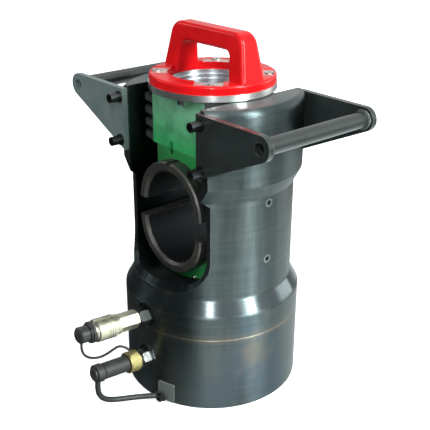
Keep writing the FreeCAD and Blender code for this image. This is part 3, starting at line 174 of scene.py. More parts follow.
floor_half = 9.0
floor_corners = [(-floor_half, -floor_half, 0), (floor_half, -floor_half, 0),
                 (floor_half, floor_half, 0), (-floor_half, floor_half, 0)]
floor_mesh = bpy.data.meshes.new("floor")
floor_mesh.from_pydata(floor_corners, [], [(0, 1, 2, 3)])
floor = bpy.data.objects.new("floor", floor_mesh)
scene.collection.objects.link(floor)
floor_material, floor_tree, floor_shader = material("floor")
floor_shader.inputs["Roughness"].default_value = 0.9
seen_floor, mirrored_floor = light_path(floor_tree)
floor_place = coordinates(floor_tree, "Object")
outwards = vector_length(floor_tree, floor_place)
# Painted light and shade on the floor as gloss sees it: light on the right near the head, painted shade on
# the left and far away.
lit_side = remap(floor_tree, reach_along(floor_tree, floor_place, -right), -0.04, 0.15, 1.0, 0.08)
lit = multiply(floor_tree, lit_side, remap(floor_tree, outwards, 0.55, 1.0, 1.0, 0.25))
mirrored_floor_painted_light = blend_colour(floor_tree, lit, (0.0, 0.0, 0.0, 1.0), (0.88, 0.90, 0.90, 1.0))
floor_paint = blend_colour(floor_tree, mirrored_floor, (0.26, 0.27, 0.27, 1.0), mirrored_floor_painted_light)
floor_paint = blend_colour(floor_tree, seen_floor, floor_paint, (0.88, 0.88, 0.89, 1.0))
floor_tree.links.new(floor_paint, floor_shader.inputs["Base Color"])
far_glow = remap(floor_tree, outwards, 0.6, 1.6, 0.55, 1.0)
floor_tree.links.new(multiply(floor_tree, seen_floor, far_glow), floor_shader.inputs["Emission Strength"])
floor_shader.inputs["Emission Color"].default_value = (1.0, 1.0, 1.0, 1.0)
floor_mesh.materials.append(floor_material)


# Lamps
# Two tall strips on the right draw the bright bands on the turned steel. Wide soft lamps
# behind, above, in front and on the left fill in the rest.
def area_light(name, place, aim, width, height, power, colour, mirrored=True):
    """Rectangular soft light at a place, facing a point, seen in glossy surfaces if mirrored."""
    data = bpy.data.lights.new(name, "AREA")
    data.shape = "RECTANGLE"
    data.size = width
    data.size_y = height
    data.energy = power
    data.color = colour
    light = bpy.data.objects.new(name, data)
    light.location = place
    light.rotation_euler = (Vector(aim) - Vector(place)).to_track_quat("-Z", "Y").to_euler()
    light.visible_glossy = mirrored
    light.visible_camera = False
    scene.collection.objects.link(light)


waist = (0.0, 0.0, 0.2)
arms = (0.0, 0.0, 0.3)
area_light("strip_right", (2.05, 0.45, 1.45), waist, 0.26, 1.9, 96.0, (0.90, 1.0, 0.98))
area_light("strip_near", (1.45, -1.36, 1.65), waist, 0.10, 1.6, 42.0, (0.94, 0.98, 1.0))
area_light("rim", (0.9, 2.3, 0.5), (0.0, 0.0, 0.1), 1.2, 1.0, 12.0, (0.95, 1.0, 0.98))
area_light("top", (-0.3, 0.4, 2.4), arms, 1.6, 1.6, 9.0, (1.0, 1.0, 1.0))
area_light("front", (-1.0, -2.2, 1.4), arms, 1.2, 1.2, 18.0, (1.0, 1.0, 1.0), mirrored=False)
area_light("left", (-1.9, -1.1, 1.5), arms, 0.6, 0.8, 5.0, (0.95, 1.0, 0.98))


# Yoke body and bottom cap
# Cylinder, waist and arms are one steel forging, turned and blackened, closed by a screwed cap.
# Lathe streaks, heat tints and a rubbed line round the cylinder show in the black.
arms_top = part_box("yoke_body")[1].z
screw_low, screw_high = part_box("side_plugs")
black_steel_deep = (0.038, 0.050, 0.052, 1)
black_steel_pale = (0.078, 0.096, 0.096, 1)
turned_line = (0.110, 0.128, 0.128, 1)
tan_cloud = (0.150, 0.125, 0.090, 1)
blue_cloud = (0.045, 0.080, 0.115, 1)
stain_place = (0.1265, -0.0294, 0.085)
stain_waver = 0.014
stain_blue = (0.045, 0.085, 0.130, 1)
stain_tan = (0.155, 0.125, 0.090, 1)
shoulder_bottom = 0.1530
shoulder_top = 0.1715
shoulder_radius = 0.115
shoulder_grey = (0.100, 0.120, 0.126, 1)
screw_rim_place = 0.1165
screw_rim_radius = 0.006
screw_rim = (0.260, 0.290, 0.290, 1)
rubbed_bottom = 0.1150
rubbed_top = 0.1166
rubbed_glow = (0.190, 0.160, 0.120, 1)
rubbed_line = (0.36, 0.31, 0.23, 1)
arm_top_painted_sheen = (0.130, 0.145, 0.145, 1)
throat_half = 0.0797
throat_radius = 0.1160
throat_floor = 0.1480
# Painted shade for the walls and the floor of the throat.
throat_painted_shade = (0.040, 0.052, 0.054, 1)
worn_edge = (0.42, 0.42, 0.41, 1)


def group(name, inputs, outputs):
    """Empty shader group with number sockets: inputs as (label, value), outputs as labels."""
    made = bpy.data.node_groups.new(name, "ShaderNodeTree")
    for label, value in inputs:
        socket = made.interface.new_socket(label, in_out="INPUT", socket_type="NodeSocketFloat")
        socket.default_value = value
    for label in outputs:
        made.interface.new_socket(label, in_out="OUTPUT", socket_type="NodeSocketFloat")
    start = made.nodes.new("NodeGroupInput")
    end = made.nodes.new("NodeGroupOutput")
    return made, start, end


def use_group(tree, made, **values):
    """Instance of a group with some of its inputs set."""
    node = tree.nodes.new("ShaderNodeGroup")
    node.node_tree = made
    for label, value in values.items():
        node.inputs[label].default_value = value
    return node


def noise_node(tree, source, scale, detail, roughness=0.5):
    """Noise texture at the places that a vector gives."""
    node = tree.nodes.new("ShaderNodeTexNoise")
    node.inputs["Scale"].default_value = scale
    node.inputs["Detail"].default_value = detail
    node.inputs["Roughness"].default_value = roughness
    tree.links.new(source, node.inputs["Vector"])
    return node


def object_noise(tree, scale, detail, roughness=0.5):
    """Noise in the object's own coordinates."""
    return noise_node(tree, coordinates(tree, "Object"), scale, detail, roughness).outputs["Fac"]


def stretched(tree, scale):
    """Object coordinates, scaled along each axis."""
    node = tree.nodes.new("ShaderNodeMapping")
    node.inputs["Scale"].default_value = scale
    tree.links.new(coordinates(tree, "Object"), node.inputs["Vector"])
    return node.outputs["Vector"]


def edge_wear_group():
    """Mask of worn edges: where the rounded normal leaves the flat one, broken up by noise."""
    made, start, end = group("edge_wear", [("Width", 0.001), ("Amount", 1.0)], ["Mask"])
    rounded = made.nodes.new("ShaderNodeBevel")
    rounded.samples = 4
    made.links.new(start.outputs["Width"], rounded.inputs["Radius"])
    flat = made.nodes.new("ShaderNodeNewGeometry")
    agree = made.nodes.new("ShaderNodeVectorMath")
    agree.operation = "DOT_PRODUCT"
    made.links.new(rounded.outputs["Normal"], agree.inputs[0])
    made.links.new(flat.outputs["Normal"], agree.inputs[1])
    sharp = remap(made, agree.outputs["Value"], 0.995, 0.90, 0.0, 1.0)
    broken = remap(made, object_noise(made, 90.0, 4.0, 0.6), 0.42, 0.6, 0.0, 1.0)
    worn = multiply(made, sharp, broken)
    made.links.new(multiply(made, worn, start.outputs["Amount"]), end.inputs["Mask"])
    return made


def turning_group():
    """Marks of the lathe: noise squeezed into fine level rings, and noise drawn out upright."""
    made, start, end = group("turning", [("Pitch", 900.0)], ["Height", "Streak"])
    rings = noise_node(made, stretched(made, (0.02, 0.02, 1.0)), 900.0, 3.0, 0.7)
    made.links.new(start.outputs["Pitch"], rings.inputs["Scale"])
    made.links.new(rings.outputs["Fac"], end.inputs["Height"])
    streaks = noise_node(made, stretched(made, (1.0, 1.0, 0.12)), 26.0, 5.0, 0.6)
    made.links.new(streaks.outputs["Fac"], end.inputs["Streak"])
    return made


edge_wear = edge_wear_group()
turning = turning_group()


def bump(tree, shader, height, strength, distance):
    """Bump a height into the shader's normal."""
    node = tree.nodes.new("ShaderNodeBump")
    node.inputs["Strength"].default_value = strength
    node.inputs["Distance"].default_value = distance
    tree.links.new(height, node.inputs["Height"])
    tree.links.new(node.outputs["Normal"], shader.inputs["Normal"])


def turned_grain(tree, shader, amount):
    """Stretch the gloss along Z, across the grooves that turning leaves."""
    grain = tree.nodes.new("ShaderNodeTangent")
    grain.direction_type = "RADIAL"
    grain.axis = "Z"
    tree.links.new(grain.outputs["Tangent"], shader.inputs["Tangent"])
    shader.inputs["Anisotropic"].default_value = amount
    shader.inputs["Anisotropic Rotation"].default_value = 0.25


def split_vector(tree, source):
    """The three parts of a vector."""
    node = tree.nodes.new("ShaderNodeSeparateXYZ")
    tree.links.new(source, node.inputs["Vector"])
    return node.outputs["X"], node.outputs["Y"], node.outputs["Z"]


def flat_length(tree, first, second):
    """Length of the vector that two values make at a right angle."""
    node = tree.nodes.new("ShaderNodeCombineXYZ")
    tree.links.new(first, node.inputs["X"])
    tree.links.new(second, node.inputs["Y"])
    return vector_length(tree, node.outputs["Vector"])


def height_of(tree):
    """Height, and distance from the Z axis, in the object's own coordinates."""
    x, y, z = split_vector(tree, coordinates(tree, "Object"))
    return z, flat_length(tree, x, y)


def distance_to(tree, point, waver):
    """Distance from a point of the piece, made uneven by noise."""
    gap = tree.nodes.new("ShaderNodeVectorMath")
    gap.operation = "DISTANCE"
    gap.inputs[1].default_value = point
    tree.links.new(coordinates(tree, "Object"), gap.inputs[0])
    uneven = remap(tree, object_noise(tree, 55.0, 4.0), 0.3, 0.7, -waver, waver)
    return calculate(tree, "ADD", gap.outputs["Value"], uneven)


def above(tree, value, edge, soft):
    """One above an edge and nothing below it."""
    return remap(tree, value, edge - soft, edge + soft, 0.0, 1.0)


def below(tree, value, edge, soft):
    """One below an edge and nothing above it."""
    return remap(tree, value, edge - soft, edge + soft, 1.0, 0.0)


def between(tree, value, start, end, soft):
    """One between two edges."""
    return multiply(tree, above(tree, value, start, soft), below(tree, value, end, soft))


def facing_up(tree):
    """One on level faces that look up."""
    geometry = tree.nodes.new("ShaderNodeNewGeometry")
    upwards = split_vector(tree, geometry.outputs["Normal"])[2]
    return remap(tree, upwards, 0.97, 0.995, 0.0, 1.0)


def heat_tints(tree, base, height):
    """Tan and blue clouds that fade upwards, and one stain where the heat was greatest."""
    fade = remap(tree, height, 0.10, 0.19, 1.0, 0.25)
    tan = multiply(tree, remap(tree, object_noise(tree, 8.0, 3.0), 0.48, 0.72, 0.0, 0.32), fade)
    base = blend_colour(tree, tan, base, tan_cloud)
    blue = multiply(tree, remap(tree, object_noise(tree, 13.0, 2.0), 0.48, 0.72, 0.0, 0.40), fade)
    base = blend_colour(tree, blue, base, blue_cloud)
    far = distance_to(tree, stain_place, stain_waver)
    base = blend_colour(tree, remap(tree, far, 0.030, 0.060, 0.40, 0.0), base, stain_blue)
    return blend_colour(tree, remap(tree, far, 0.008, 0.040, 0.50, 0.0), base, stain_tan)


def screw_rims(tree):
    """One round the two screws in the side of the waist, where the black is countersunk away."""
    rims = []
    for level in (screw_low.z + screw_high.y, screw_high.z - screw_high.y):
        far = distance_to(tree, (screw_rim_place, 0.0, level), 0.0004)
        rims.append(remap(tree, far, screw_rim_radius - 0.0004, screw_rim_radius + 0.0004, 0.8, 0.0))
    return calculate(tree, "MAXIMUM", rims[0], rims[1])


def throat_painted_shade_mask(tree, height, reach):
    """One on the walls and the floor of the throat between the arms, where shade is painted."""
    across = calculate(tree, "ABSOLUTE", split_vector(tree, coordinates(tree, "Object"))[0], 0.0)
    inside = below(tree, across, throat_half, 0.0002)
    inside = multiply(tree, inside, below(tree, reach, throat_radius, 0.0004))
    return multiply(tree, inside, above(tree, height, throat_floor, 0.0005))


def blued_steel():
    """Streaked black, tinted by heat, with the forging's bands, rims and worn edges on it, a painted sheen
    on the level tops and painted shade in the throat.
    """
    made, tree, shader = material("blued_steel")
    shader.inputs["Metallic"].default_value = 1.0
    height, reach = height_of(tree)
    marks = use_group(tree, turning)
    streak = remap(tree, marks.outputs["Streak"], 0.35, 0.65, 0.0, 1.0)
    base = blend_colour(tree, streak, black_steel_deep, black_steel_pale)
    lines = use_group(tree, turning, Pitch=260.0)
    line = remap(tree, lines.outputs["Height"], 0.42, 0.68, 0.0, 0.35)
    base = blend_colour(tree, line, base, turned_line)
    base = heat_tints(tree, base, height)
    shoulder = between(tree, height, shoulder_bottom, shoulder_top, 0.0015)
    shoulder = multiply(tree, shoulder, above(tree, reach, shoulder_radius, 0.0015))
    base = blend_colour(tree, shoulder, base, shoulder_grey)
    base = blend_colour(tree, screw_rims(tree), base, screw_rim)
    glow_below = remap(tree, height, 0.108, 0.1145, 0.0, 0.30)
    glow_above = remap(tree, height, 0.1170, 0.1260, 1.0, 0.0)
    base = blend_colour(tree, multiply(tree, glow_below, glow_above), base, rubbed_glow)
    base = blend_colour(tree, between(tree, height, rubbed_bottom, rubbed_top, 0.0002), base, rubbed_line)
    # Painted sheen: the level tops of the arms are painted lighter, a painted reflection of the bright sky.
    top = multiply(tree, above(tree, height, arms_top - 0.0015, 0.0005), facing_up(tree))
    base = blend_colour(tree, top, base, arm_top_painted_sheen)
    # Painted shade darkens the throat's walls and floor.
    base = blend_colour(tree, throat_painted_shade_mask(tree, height, reach), base, throat_painted_shade)
    wear = use_group(tree, edge_wear, Width=0.0012, Amount=0.7)
    base = blend_colour(tree, wear.outputs["Mask"], base, worn_edge)
    tree.links.new(base, shader.inputs["Base Color"])
    rough = remap(tree, marks.outputs["Streak"], 0.3, 0.7, 0.34, 0.46)
    rough = calculate(tree, "ADD", multiply(tree, shoulder, -0.17), rough)
    tree.links.new(rough, shader.inputs["Roughness"])
    turned_grain(tree, shader, 0.85)
    bump(tree, shader, marks.outputs["Height"], 0.2, 0.0002)
    return made


def dress(finish, *names):
    """Give nodes of the frame a finish."""
    for name in names:
        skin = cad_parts[name].data.materials
        skin.clear()
        skin.append(finish)


dress(blued_steel(), "yoke_body", "bottom_cap")


# Seals, wipers and guide rings
# Black rubber rings seal the cap, the rod and the piston. Split rings of brass beside them
# keep the ram from touching the bore. All lie sprung in their grooves.
def soft_black(name, colour, roughness):
    """Black rubber or plastic with fine grain and a little dust."""
    made, tree, shader = material(name)
    dust = remap(tree, object_noise(tree, 70.0, 5.0, 0.65), 0.5, 0.8, 0.0, 0.4)
    tree.links.new(blend_colour(tree, dust, colour, (0.12, 0.12, 0.12, 1)), shader.inputs["Base Color"])
    shader.inputs["Roughness"].default_value = roughness
    bump(tree, shader, object_noise(tree, 900.0, 3.0), 0.15, 0.0002)
    return made


def plain_metal(name, colour, low_rough, high_rough):
    """Metal whose gloss varies a little."""
    made, tree, shader = material(name)
    shader.inputs["Metallic"].default_value = 1.0
    shader.inputs["Base Color"].default_value = colour
    rough = remap(tree, object_noise(tree, 120.0, 4.0), 0.3, 0.7, low_rough, high_rough)
    tree.links.new(rough, shader.inputs["Roughness"])
    bump(tree, shader, object_noise(tree, 600.0, 2.0), 0.05, 0.0001)
    return made


rubber = soft_black("seal_rubber", (0.018, 0.018, 0.018, 1), 0.5)
brass = plain_metal("brass", (0.40, 0.34, 0.15, 1), 0.30, 0.48)
dress(rubber, "cap_seal", "rod_seal", "wiper_ring", "piston_seal")
dress(brass, "gland_bearing_ring", "piston_lower_bearing", "piston_upper_bearing")


# Side plugs
# Two set screws of blackened steel close drillings in the side of the waist. They are
# screwed in until they lie just under the surface.
black_screw = plain_metal("black_steel", (0.055, 0.057, 0.057, 1), 0.3, 0.5)
dress(black_screw, "side_plugs")


# Ram
# Piston and rod are one piece of steel, ground and hard chromed so that the seals run on it.
chrome = plain_metal("chrome_steel", (0.75, 0.76, 0.78, 1), 0.05, 0.10)
dress(chrome, "ram")


# Die holders
# Two blocks of green enamelled steel take the dies. The lower one is screwed to the ram, the
# upper one turns on a stud under the plug, and both guide the dies on black keys.
def enamel(name, colour, dark, roughness, coat):
    """Enamel in two shades with a soft orange peel, worn at its edges."""
    made, tree, shader = material(name)
    shade = remap(tree, object_noise(tree, 30.0, 4.0), 0.35, 0.7, 0.0, 1.0)
    base = blend_colour(tree, shade, colour, dark)
    wear = use_group(tree, edge_wear, Width=0.0012, Amount=0.6)
    base = blend_colour(tree, wear.outputs["Mask"], base, (0.25, 0.25, 0.24, 1))
    tree.links.new(base, shader.inputs["Base Color"])
    shader.inputs["Roughness"].default_value = roughness
    shader.inputs["Coat Weight"].default_value = coat
    shader.inputs["Coat Roughness"].default_value = 0.12
    bump(tree, shader, object_noise(tree, 350.0, 2.0), 0.08, 0.0002)
    return made


green_enamel = enamel("green_steel", (0.014, 0.190, 0.042, 1), (0.014, 0.110, 0.032, 1), 0.35, 0.3)
dress(green_enamel, "lower_die_holder", "upper_die_holder")
dress(black_screw, "lower_holder_screws", "lower_die_keys", "upper_die_keys", "swivel_stud")


# Dies
# Two half rings of hardened steel, brown black, with bronze where their edges are rubbed. They
# slide into the holders on their keyways, and press a sleeve between their bores, darkened by painted
# shade.
lower_die_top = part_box("lower_die")[1].z
upper_die_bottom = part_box("upper_die")[0].z
die_bore_radius = 0.0534
die_brown = (0.150, 0.138, 0.120, 1)
die_black = (0.100, 0.105, 0.106, 1)
# Painted shade for the inside of the bores.
die_bore_painted_shade = (0.030, 0.033, 0.036, 1)
rubbed_bronze = (0.38, 0.31, 0.24, 1)


def bore_mask(tree):
    """One inside the bores, whose axes lie in the two flat faces of the dies."""
    x, y, z = split_vector(tree, coordinates(tree, "Object"))
    axis_height = tree.nodes.new("ShaderNodeClamp")
    axis_height.inputs["Min"].default_value = lower_die_top
    axis_height.inputs["Max"].default_value = upper_die_bottom
    tree.links.new(z, axis_height.inputs["Value"])
    rise = calculate(tree, "SUBTRACT", z, axis_height.outputs["Result"])
    return below(tree, flat_length(tree, x, rise), die_bore_radius, 0.0002)


def die_steel():
    """Mottled brown black, with painted shade in the bore, bronze along the edges."""
    made, tree, shader = material("die_steel")
    shade = remap(tree, object_noise(tree, 40.0, 5.0), 0.4, 0.65, 0.0, 1.0)
    base = blend_colour(tree, shade, die_black, die_brown)
    # Painted shade darkens the inside of the bores.
    base = blend_colour(tree, bore_mask(tree), base, die_bore_painted_shade)
    wear = use_group(tree, edge_wear, Width=0.002, Amount=0.9)
    base = blend_colour(tree, wear.outputs["Mask"], base, rubbed_bronze)
    tree.links.new(base, shader.inputs["Base Color"])
    shader.inputs["Metallic"].default_value = 0.9
    shader.inputs["Roughness"].default_value = 0.42
    bump(tree, shader, object_noise(tree, 300.0, 3.0), 0.12, 0.0002)
    return made


dress(die_steel(), "lower_die", "upper_die")


# Die buttons and their springs
# A small steel button in each holder holds its die. It slides in a blind bore against a
# coil of spring wire, whose end turns lie closed.
button_wire = 0.0006
button_spring_turns = 6
coil_steps = 28
wire_sides = 10
spring_wire = plain_metal("spring_steel", (0.35, 0.35, 0.36, 1), 0.25, 0.4)
bright_steel = plain_metal("bright_steel", (0.62, 0.62, 0.60, 1), 0.18, 0.35)
dress(black_screw, "latch_button")
dress(bright_steel, "release_button")


def grid_mesh(name, points, finish, body):
    """Mesh of a grid of points, closed along its first axis, with smooth faces."""
    rows, columns = points.shape[:2]
    index = np.arange(rows * columns).reshape(rows, columns)
    follow = np.roll(index, -1, axis=0)
    quads = np.stack([index[:, :-1], follow[:, :-1], follow[:, 1:], index[:, 1:]], axis=-1).reshape(-1, 4)
    mesh = bpy.data.meshes.new(name)
    mesh.from_pydata(points.reshape(-1, 3).tolist(), [], quads.tolist())
    mesh.polygons.foreach_set("use_smooth", np.ones(len(quads), dtype=bool))
    mesh.materials.append(finish)
    made = bpy.data.objects.new(name, mesh)
    scene.collection.objects.link(made)
    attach(made, body)
    return made


def coil_spring(node, body, turns, wire, tilt):
    """Helix of round wire that fills the node's box and shortens towards its rear end.

    The middle of the wire lies at the coil's radius times cosine and sine of the turning angle.
    Its station rises slowly over the first and the last turn and evenly between them. Round the
    middle, the wire's surface adds its own radius times cosine and sine of a second angle, and
    that radius is nothing at the two ends, which closes them.
    """
    low, high = (np.array(corner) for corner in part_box(node))
    middle = 0.5 * (low + high)
    outside = 0.5 * (high[0] - low[0])
    axis = np.array([0.0, math.cos(tilt), -math.sin(tilt)])
    across = np.array([1.0, 0.0, 0.0])
    over = np.array([0.0, math.sin(tilt), math.cos(tilt)])
    length = (high[1] - low[1] - 2.0 * outside * math.sin(tilt)) / math.cos(tilt)
    rise = length - 2.0 * wire
    closed_rise = 2.1 * wire
    share = np.linspace(0.0, 1.0, coil_steps * turns + 1)
    knots = [0.0, 1.0 / turns, 1.0 - 1.0 / turns, 1.0]
    station = np.interp(share, knots, [0.0, closed_rise, rise - closed_rise, rise])
    angle = 2.0 * math.pi * turns * share
    thick = np.full(len(share), wire)
    thick[[0, -1]] = 0.0
    around = np.linspace(0.0, 2.0 * math.pi, wire_sides, endpoint=False)[:, None]
    ring = outside - wire + thick * np.cos(around)
    along = station - 0.5 * rise + thick * np.sin(around)
    points = middle + (ring * np.cos(angle))[..., None] * across
    points = points + (ring * np.sin(angle))[..., None] * over + along[..., None] * axis
    coil = grid_mesh(node + "_coil", points, spring_wire, body)
    dress(spring_wire, node)
    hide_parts(node)
    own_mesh(coil)


coil_spring("latch_spring", "upper_holder", button_spring_turns, button_wire, 0.0)
coil_spring("release_spring", "ram", button_spring_turns, button_wire, 0.0)


# Breech plug
# A steel plug whose interrupted teeth lock in the grooves of the arms. Its flats are enamelled
# green, the neck and the bore are turned bright, and the teeth are bare and dark with oil.
plug_tooth_root = 0.0835
plug_bore_radius = 0.0606
plug_bore_floor = 0.3975
neck_bottom = arms_top + 0.0002
plug_green_low = (0.026, 0.270, 0.080, 1)
plug_green_painted_light = (0.140, 0.350, 0.210, 1)
plug_green_shade = (0.015, 0.100, 0.040, 1)
oiled_teeth = (0.030, 0.034, 0.032, 1)
neck_bright = (0.88, 0.86, 0.86, 1)
bore_bright = (0.72, 0.76, 0.79, 1)


def plug_finish():
    """Green below the neck with painted light towards its top, dark beyond the teeth's root, bright metal
    on the neck and in the bore.
    """
    made, tree, shader = material("breech_plug")
    height, reach = height_of(tree)
    # Painted light: the green grows lighter towards the top of the flats.
    paint = blend_colour(tree, remap(tree, height, 0.372, 0.425, 0.0, 1.0), plug_green_low, plug_green_painted_light)
    shade = remap(tree, object_noise(tree, 45.0, 5.0), 0.4, 0.7, 0.0, 0.6)
    paint = blend_colour(tree, shade, paint, plug_green_shade)
    paint = blend_colour(tree, above(tree, reach, plug_tooth_root, 0.0003), paint, oiled_teeth)
    neck = above(tree, height, neck_bottom, 0.0002)
    bore = above(tree, height, plug_bore_floor, 0.0003)
    bore = multiply(tree, below(tree, reach, plug_bore_radius, 0.0002), bore)
    bright = calculate(tree, "MAXIMUM", neck, bore)
    paint = blend_colour(tree, neck, paint, neck_bright)
    paint = blend_colour(tree, bore, paint, bore_bright)
    tree.links.new(paint, shader.inputs["Base Color"])
    tree.links.new(bright, shader.inputs["Metallic"])
    tree.links.new(remap(tree, bright, 0.0, 1.0, 0.34, 0.30), shader.inputs["Roughness"])
    turned_grain(tree, shader, 0.7)
    bump(tree, shader, use_group(tree, turning).outputs["Height"], 0.15, 0.0002)
    return made


dress(plug_finish(), "breech_plug")


# Handle
# A cast loop on a round flange, enamelled deep red and screwed to the plug's neck. The four
# pads on the flange are milled back to bare metal.
pad_bottom = 0.4641
pad_top = 0.4647
red_light = (0.56, 0.003, 0.005, 1)
red_dark = (0.45, 0.002, 0.004, 1)
milled_pad = (0.62, 0.50, 0.46, 1)


def handle_finish():
    """Red in two shades, with scuffed bare metal on the level faces of the pads."""
    made, tree, shader = material("red_casting")
    height = height_of(tree)[0]
    shade = remap(tree, object_noise(tree, 30.0, 4.0), 0.35, 0.7, 0.0, 1.0)
    paint = blend_colour(tree, shade, red_light, red_dark)
    pad = multiply(tree, between(tree, height, pad_bottom, pad_top, 0.0002), facing_up(tree))
    pad = multiply(tree, pad, remap(tree, object_noise(tree, 60.0, 4.0), 0.3, 0.6, 0.35, 1.0))
    tree.links.new(blend_colour(tree, pad, paint, milled_pad), shader.inputs["Base Color"])
    tree.links.new(multiply(tree, pad, 0.8), shader.inputs["Metallic"])
    shader.inputs["Roughness"].default_value = 0.30
    shader.inputs["Specular IOR Level"].default_value = 0.22
    shader.inputs["Coat Weight"].default_value = 0.10
    shader.inputs["Coat Roughness"].default_value = 0.08
    bump(tree, shader, object_noise(tree, 350.0, 2.0), 0.08, 0.0002)
    return made


dress(handle_finish(), "handle")
dress(bright_steel, "handle_screws")


# Bails
# Two plates on each side are bolted to the flats of the arms and joined by a welded grip tube.
# They are of mild steel, painted black; the left plates are given a lighter grey as painted light, where
# more light falls on them.
weld_size = 0.0032
weld_sink = 0.0002
weld_steps = 44
weld_step_height = 0.07
weld_unevenness = 0.05
round_steps = 288
black_paint = enamel("dark_plate", (0.010, 0.014, 0.013, 1), (0.018, 0.023, 0.022, 1), 0.33, 0.2)
# Painted light: the left plates get a lighter grey copy of the black paint.
plate_paint_painted_light = enamel("plate_painted_light", (0.095, 0.130, 0.125, 1), (0.125, 0.155, 0.148, 1), 0.38, 0.1)
dress(black_paint, "bail_plate_right_front", "bail_plate_right_rear", "bail_tube_left", "bail_tube_right")
dress(plate_paint_painted_light, "bail_plate_left_front", "bail_plate_left_rear")
dress(black_screw, "bail_bolts", "bail_flat_washers", "bail_spring_washers")


def weld_bead(name, tube, x_side, y_side):
    """Fillet bead in the corner between a tube's end and its plate.

    Across, the bead is a quarter circle. Round the tube its size ripples as two waves of the
    angle do, a fast one for the steps of the hand and a slow one for its unevenness.
    """
    low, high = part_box(tube)
    tube_radius = 0.5 * (high.x - low.x)
    around = np.linspace(0.0, 2.0 * np.pi, round_steps, endpoint=False)[:, None]
    section = np.linspace(-0.1, 0.5 * np.pi + 0.1, 9)[None, ::y_side]
    steps = weld_step_height * np.cos(weld_steps * around + 1.4 * np.sin(section))
    size = weld_size * (1.0 + steps + weld_unevenness * np.sin(3.0 * around + x_side))
    radius = tube_radius - weld_sink + size * np.cos(section)
    x = 0.5 * (low.x + high.x) + radius * np.cos(around)
    y = y_side * (high.y + weld_sink - size * np.sin(section))
    z = 0.5 * (low.z + high.z) + radius * np.sin(around)
    return grid_mesh(name, np.stack([x, y, z], axis=-1), black_paint, "frame")


for x_side, x_name in ((-1, "left"), (1, "right")):
    for y_side, y_name in ((-1, "front"), (1, "rear")):
        bead = weld_bead("weld_" + x_name + "_" + y_name, "bail_tube_" + x_name, x_side, y_side)


# Female coupler
# A quick coupler on a black hexagon nipple, screwed into the upper port. Body and sleeve are
# steel with a yellow zinc finish, and inside are steel balls, a valve cone and two springs.
coupler_tilt = math.radians(5.5)
sleeve_wire = 0.00085
poppet_wire = 0.0007
coupler_spring_turns = 5
yellow_zinc = plain_metal("zinc_yellow", (0.56, 0.54, 0.42, 1), 0.28, 0.48)
dress(black_screw, "upper_adapter")
dress(yellow_zinc, "upper_coupler_body", "upper_sleeve")
dress(bright_steel, "upper_lock_balls", "upper_snap_ring", "upper_poppet")
coil_spring("upper_sleeve_spring", "frame", coupler_spring_turns, sleeve_wire, coupler_tilt)
coil_spring("upper_poppet_spring", "frame", coupler_spring_turns, poppet_wire,
            coupler_tilt)


# Dust plug and its lanyard
# A black plastic plug closes the female coupler. A thin rubber lanyard holds it, from the lug
# on the plug in one soft bow to an eye of black wire on the nipple.
lanyard_radius = 0.00175
lanyard_points = [
    (0.006, -0.23724, 0.13081), (0.006, -0.23825, 0.12036), (0.0055, -0.2325, 0.108),
    (0.003, -0.220, 0.098), (-0.002, -0.2045, 0.0905), (-0.010, -0.1875, 0.085),
    (-0.0185, -0.171, 0.0815), (-0.0233, -0.1587, 0.0794), (-0.01901, -0.14963, 0.07561),
    (-0.01018, -0.14698, 0.07173),
]


def tether(name, points, radius):
    """Round rubber cord along a smooth line through given points."""
    data = bpy.data.curves.new(name, "CURVE")
    data.dimensions = "3D"
    data.bevel_depth = radius
    data.bevel_resolution = 6
    data.resolution_u = 16
    data.use_fill_caps = True
    data.materials.append(rubber)
    spline = data.splines.new("NURBS")
    spline.points.add(len(points) - 1)
    for point, place in zip(spline.points, points):
        point.co = (*place, 1.0)
    spline.order_u = 3
    spline.use_endpoint_u = True
    cord = bpy.data.objects.new(name, data)
    scene.collection.objects.link(cord)
    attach(cord, "frame")
    return cord


dress(soft_black("black_plastic", (0.014, 0.014, 0.014, 1), 0.35), "upper_dust_plug")
dress(black_screw, "lanyard_eye")
dress(rubber, "cap_lanyard")
lanyard = tether("lanyard", lanyard_points, lanyard_radius)
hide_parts("cap_lanyard")


# Male coupler
# A bright steel nipple with its own valve cone and spring, screwed into the lower port. A
# turned brass nut locks it, with a diamond knurl rolled between two plain bevelled rims.
port_x = 0.006
port_face = 0.1275
lower_port_height = 0.0643
collar_start = 0.0206
collar_end = 0.0398
collar_radius = 0.0153
collar_bore = 0.01008
collar_bevel = 0.0012
collar_rows = 60
knurl_start = 0.0232
knurl_end = 0.0372
knurl_grooves = 36
knurl_slope = 1100.0
knurl_depth = 0.0006
dress(bright_steel, "lower_nipple", "lower_poppet")
dress(brass, "lower_collar_nut")
coil_spring("lower_poppet_spring", "frame", coupler_spring_turns, poppet_wire,
            coupler_tilt)


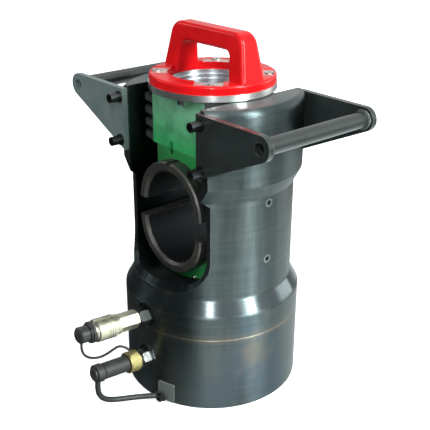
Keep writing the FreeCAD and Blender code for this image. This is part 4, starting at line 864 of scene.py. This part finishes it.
def knurl_relief(angle, station):
    """Depth of two crossing sets of grooves.

    Each set is the cosine of half the groove count times the angle, which winds along the
    station one way or the other. The lower of the two, taken from one, is the depth.
    """
    first = np.abs(np.cos(0.5 * knurl_grooves * angle + knurl_slope * station))
    second = np.abs(np.cos(0.5 * knurl_grooves * angle - knurl_slope * station))
    knurled = (station > knurl_start) & (station < knurl_end)
    return np.where(knurled, knurl_depth * (1.0 - np.minimum(first, second)), 0.0)


def knurled_collar():
    """Ring about the coupler's axis: a profile's radius less the knurl, at each angle and station."""
    face = np.linspace(collar_start + collar_bevel, collar_end - collar_bevel, collar_rows)
    stations = np.concatenate([[collar_start, collar_start], face, [collar_end, collar_end, collar_start]])
    radii = np.full(len(stations), collar_radius)
    radii[[1, -3]] = collar_radius - collar_bevel
    radii[[0, -2, -1]] = collar_bore
    angle = np.linspace(0.0, 2.0 * np.pi, round_steps, endpoint=False)[:, None]
    radius = radii[None, :] - knurl_relief(angle, stations[None, :])
    up = radius * np.sin(angle)
    out = np.broadcast_to(stations[None, :], radius.shape)
    x = port_x + radius * np.cos(angle)
    y = -port_face - out * math.cos(coupler_tilt) + up * math.sin(coupler_tilt)
    z = lower_port_height + out * math.sin(coupler_tilt) + up * math.cos(coupler_tilt)
    return grid_mesh("collar_knurl", np.stack([x, y, z], axis=-1), brass, "frame")


knurl = knurled_collar()
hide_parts("lower_collar_nut")


# Dust cap and its strap
# A rubber cap covers the nipple. Its strap is moulded of the same rubber, and hangs from the
# eye on the cap to a tab that is bolted to the cylinder with a small grey plate.
strap_radius = 0.004
strap_points = [
    (0.006, -0.21569, 0.05772), (0.006, -0.21691, 0.04498), (0.0065, -0.2128, 0.032),
    (0.007, -0.2028, 0.0226), (0.0085, -0.187, 0.0165), (0.012, -0.1695, 0.0126),
    (0.01728, -0.1532, 0.010), (0.02614, -0.14012, 0.010),
]
grey_paint = enamel("anchor_plate", (0.075, 0.085, 0.083, 1), (0.110, 0.118, 0.112, 1), 0.4, 0.0)
dress(rubber, "lower_dust_cap", "strap_eye", "strap_tab", "cap_strap")
dress(grey_paint, "anchor_plate")
dress(black_screw, "anchor_bolt")
strap = tether("strap", strap_points, strap_radius)
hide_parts("cap_strap")


scene.view_settings.view_transform = "Standard"
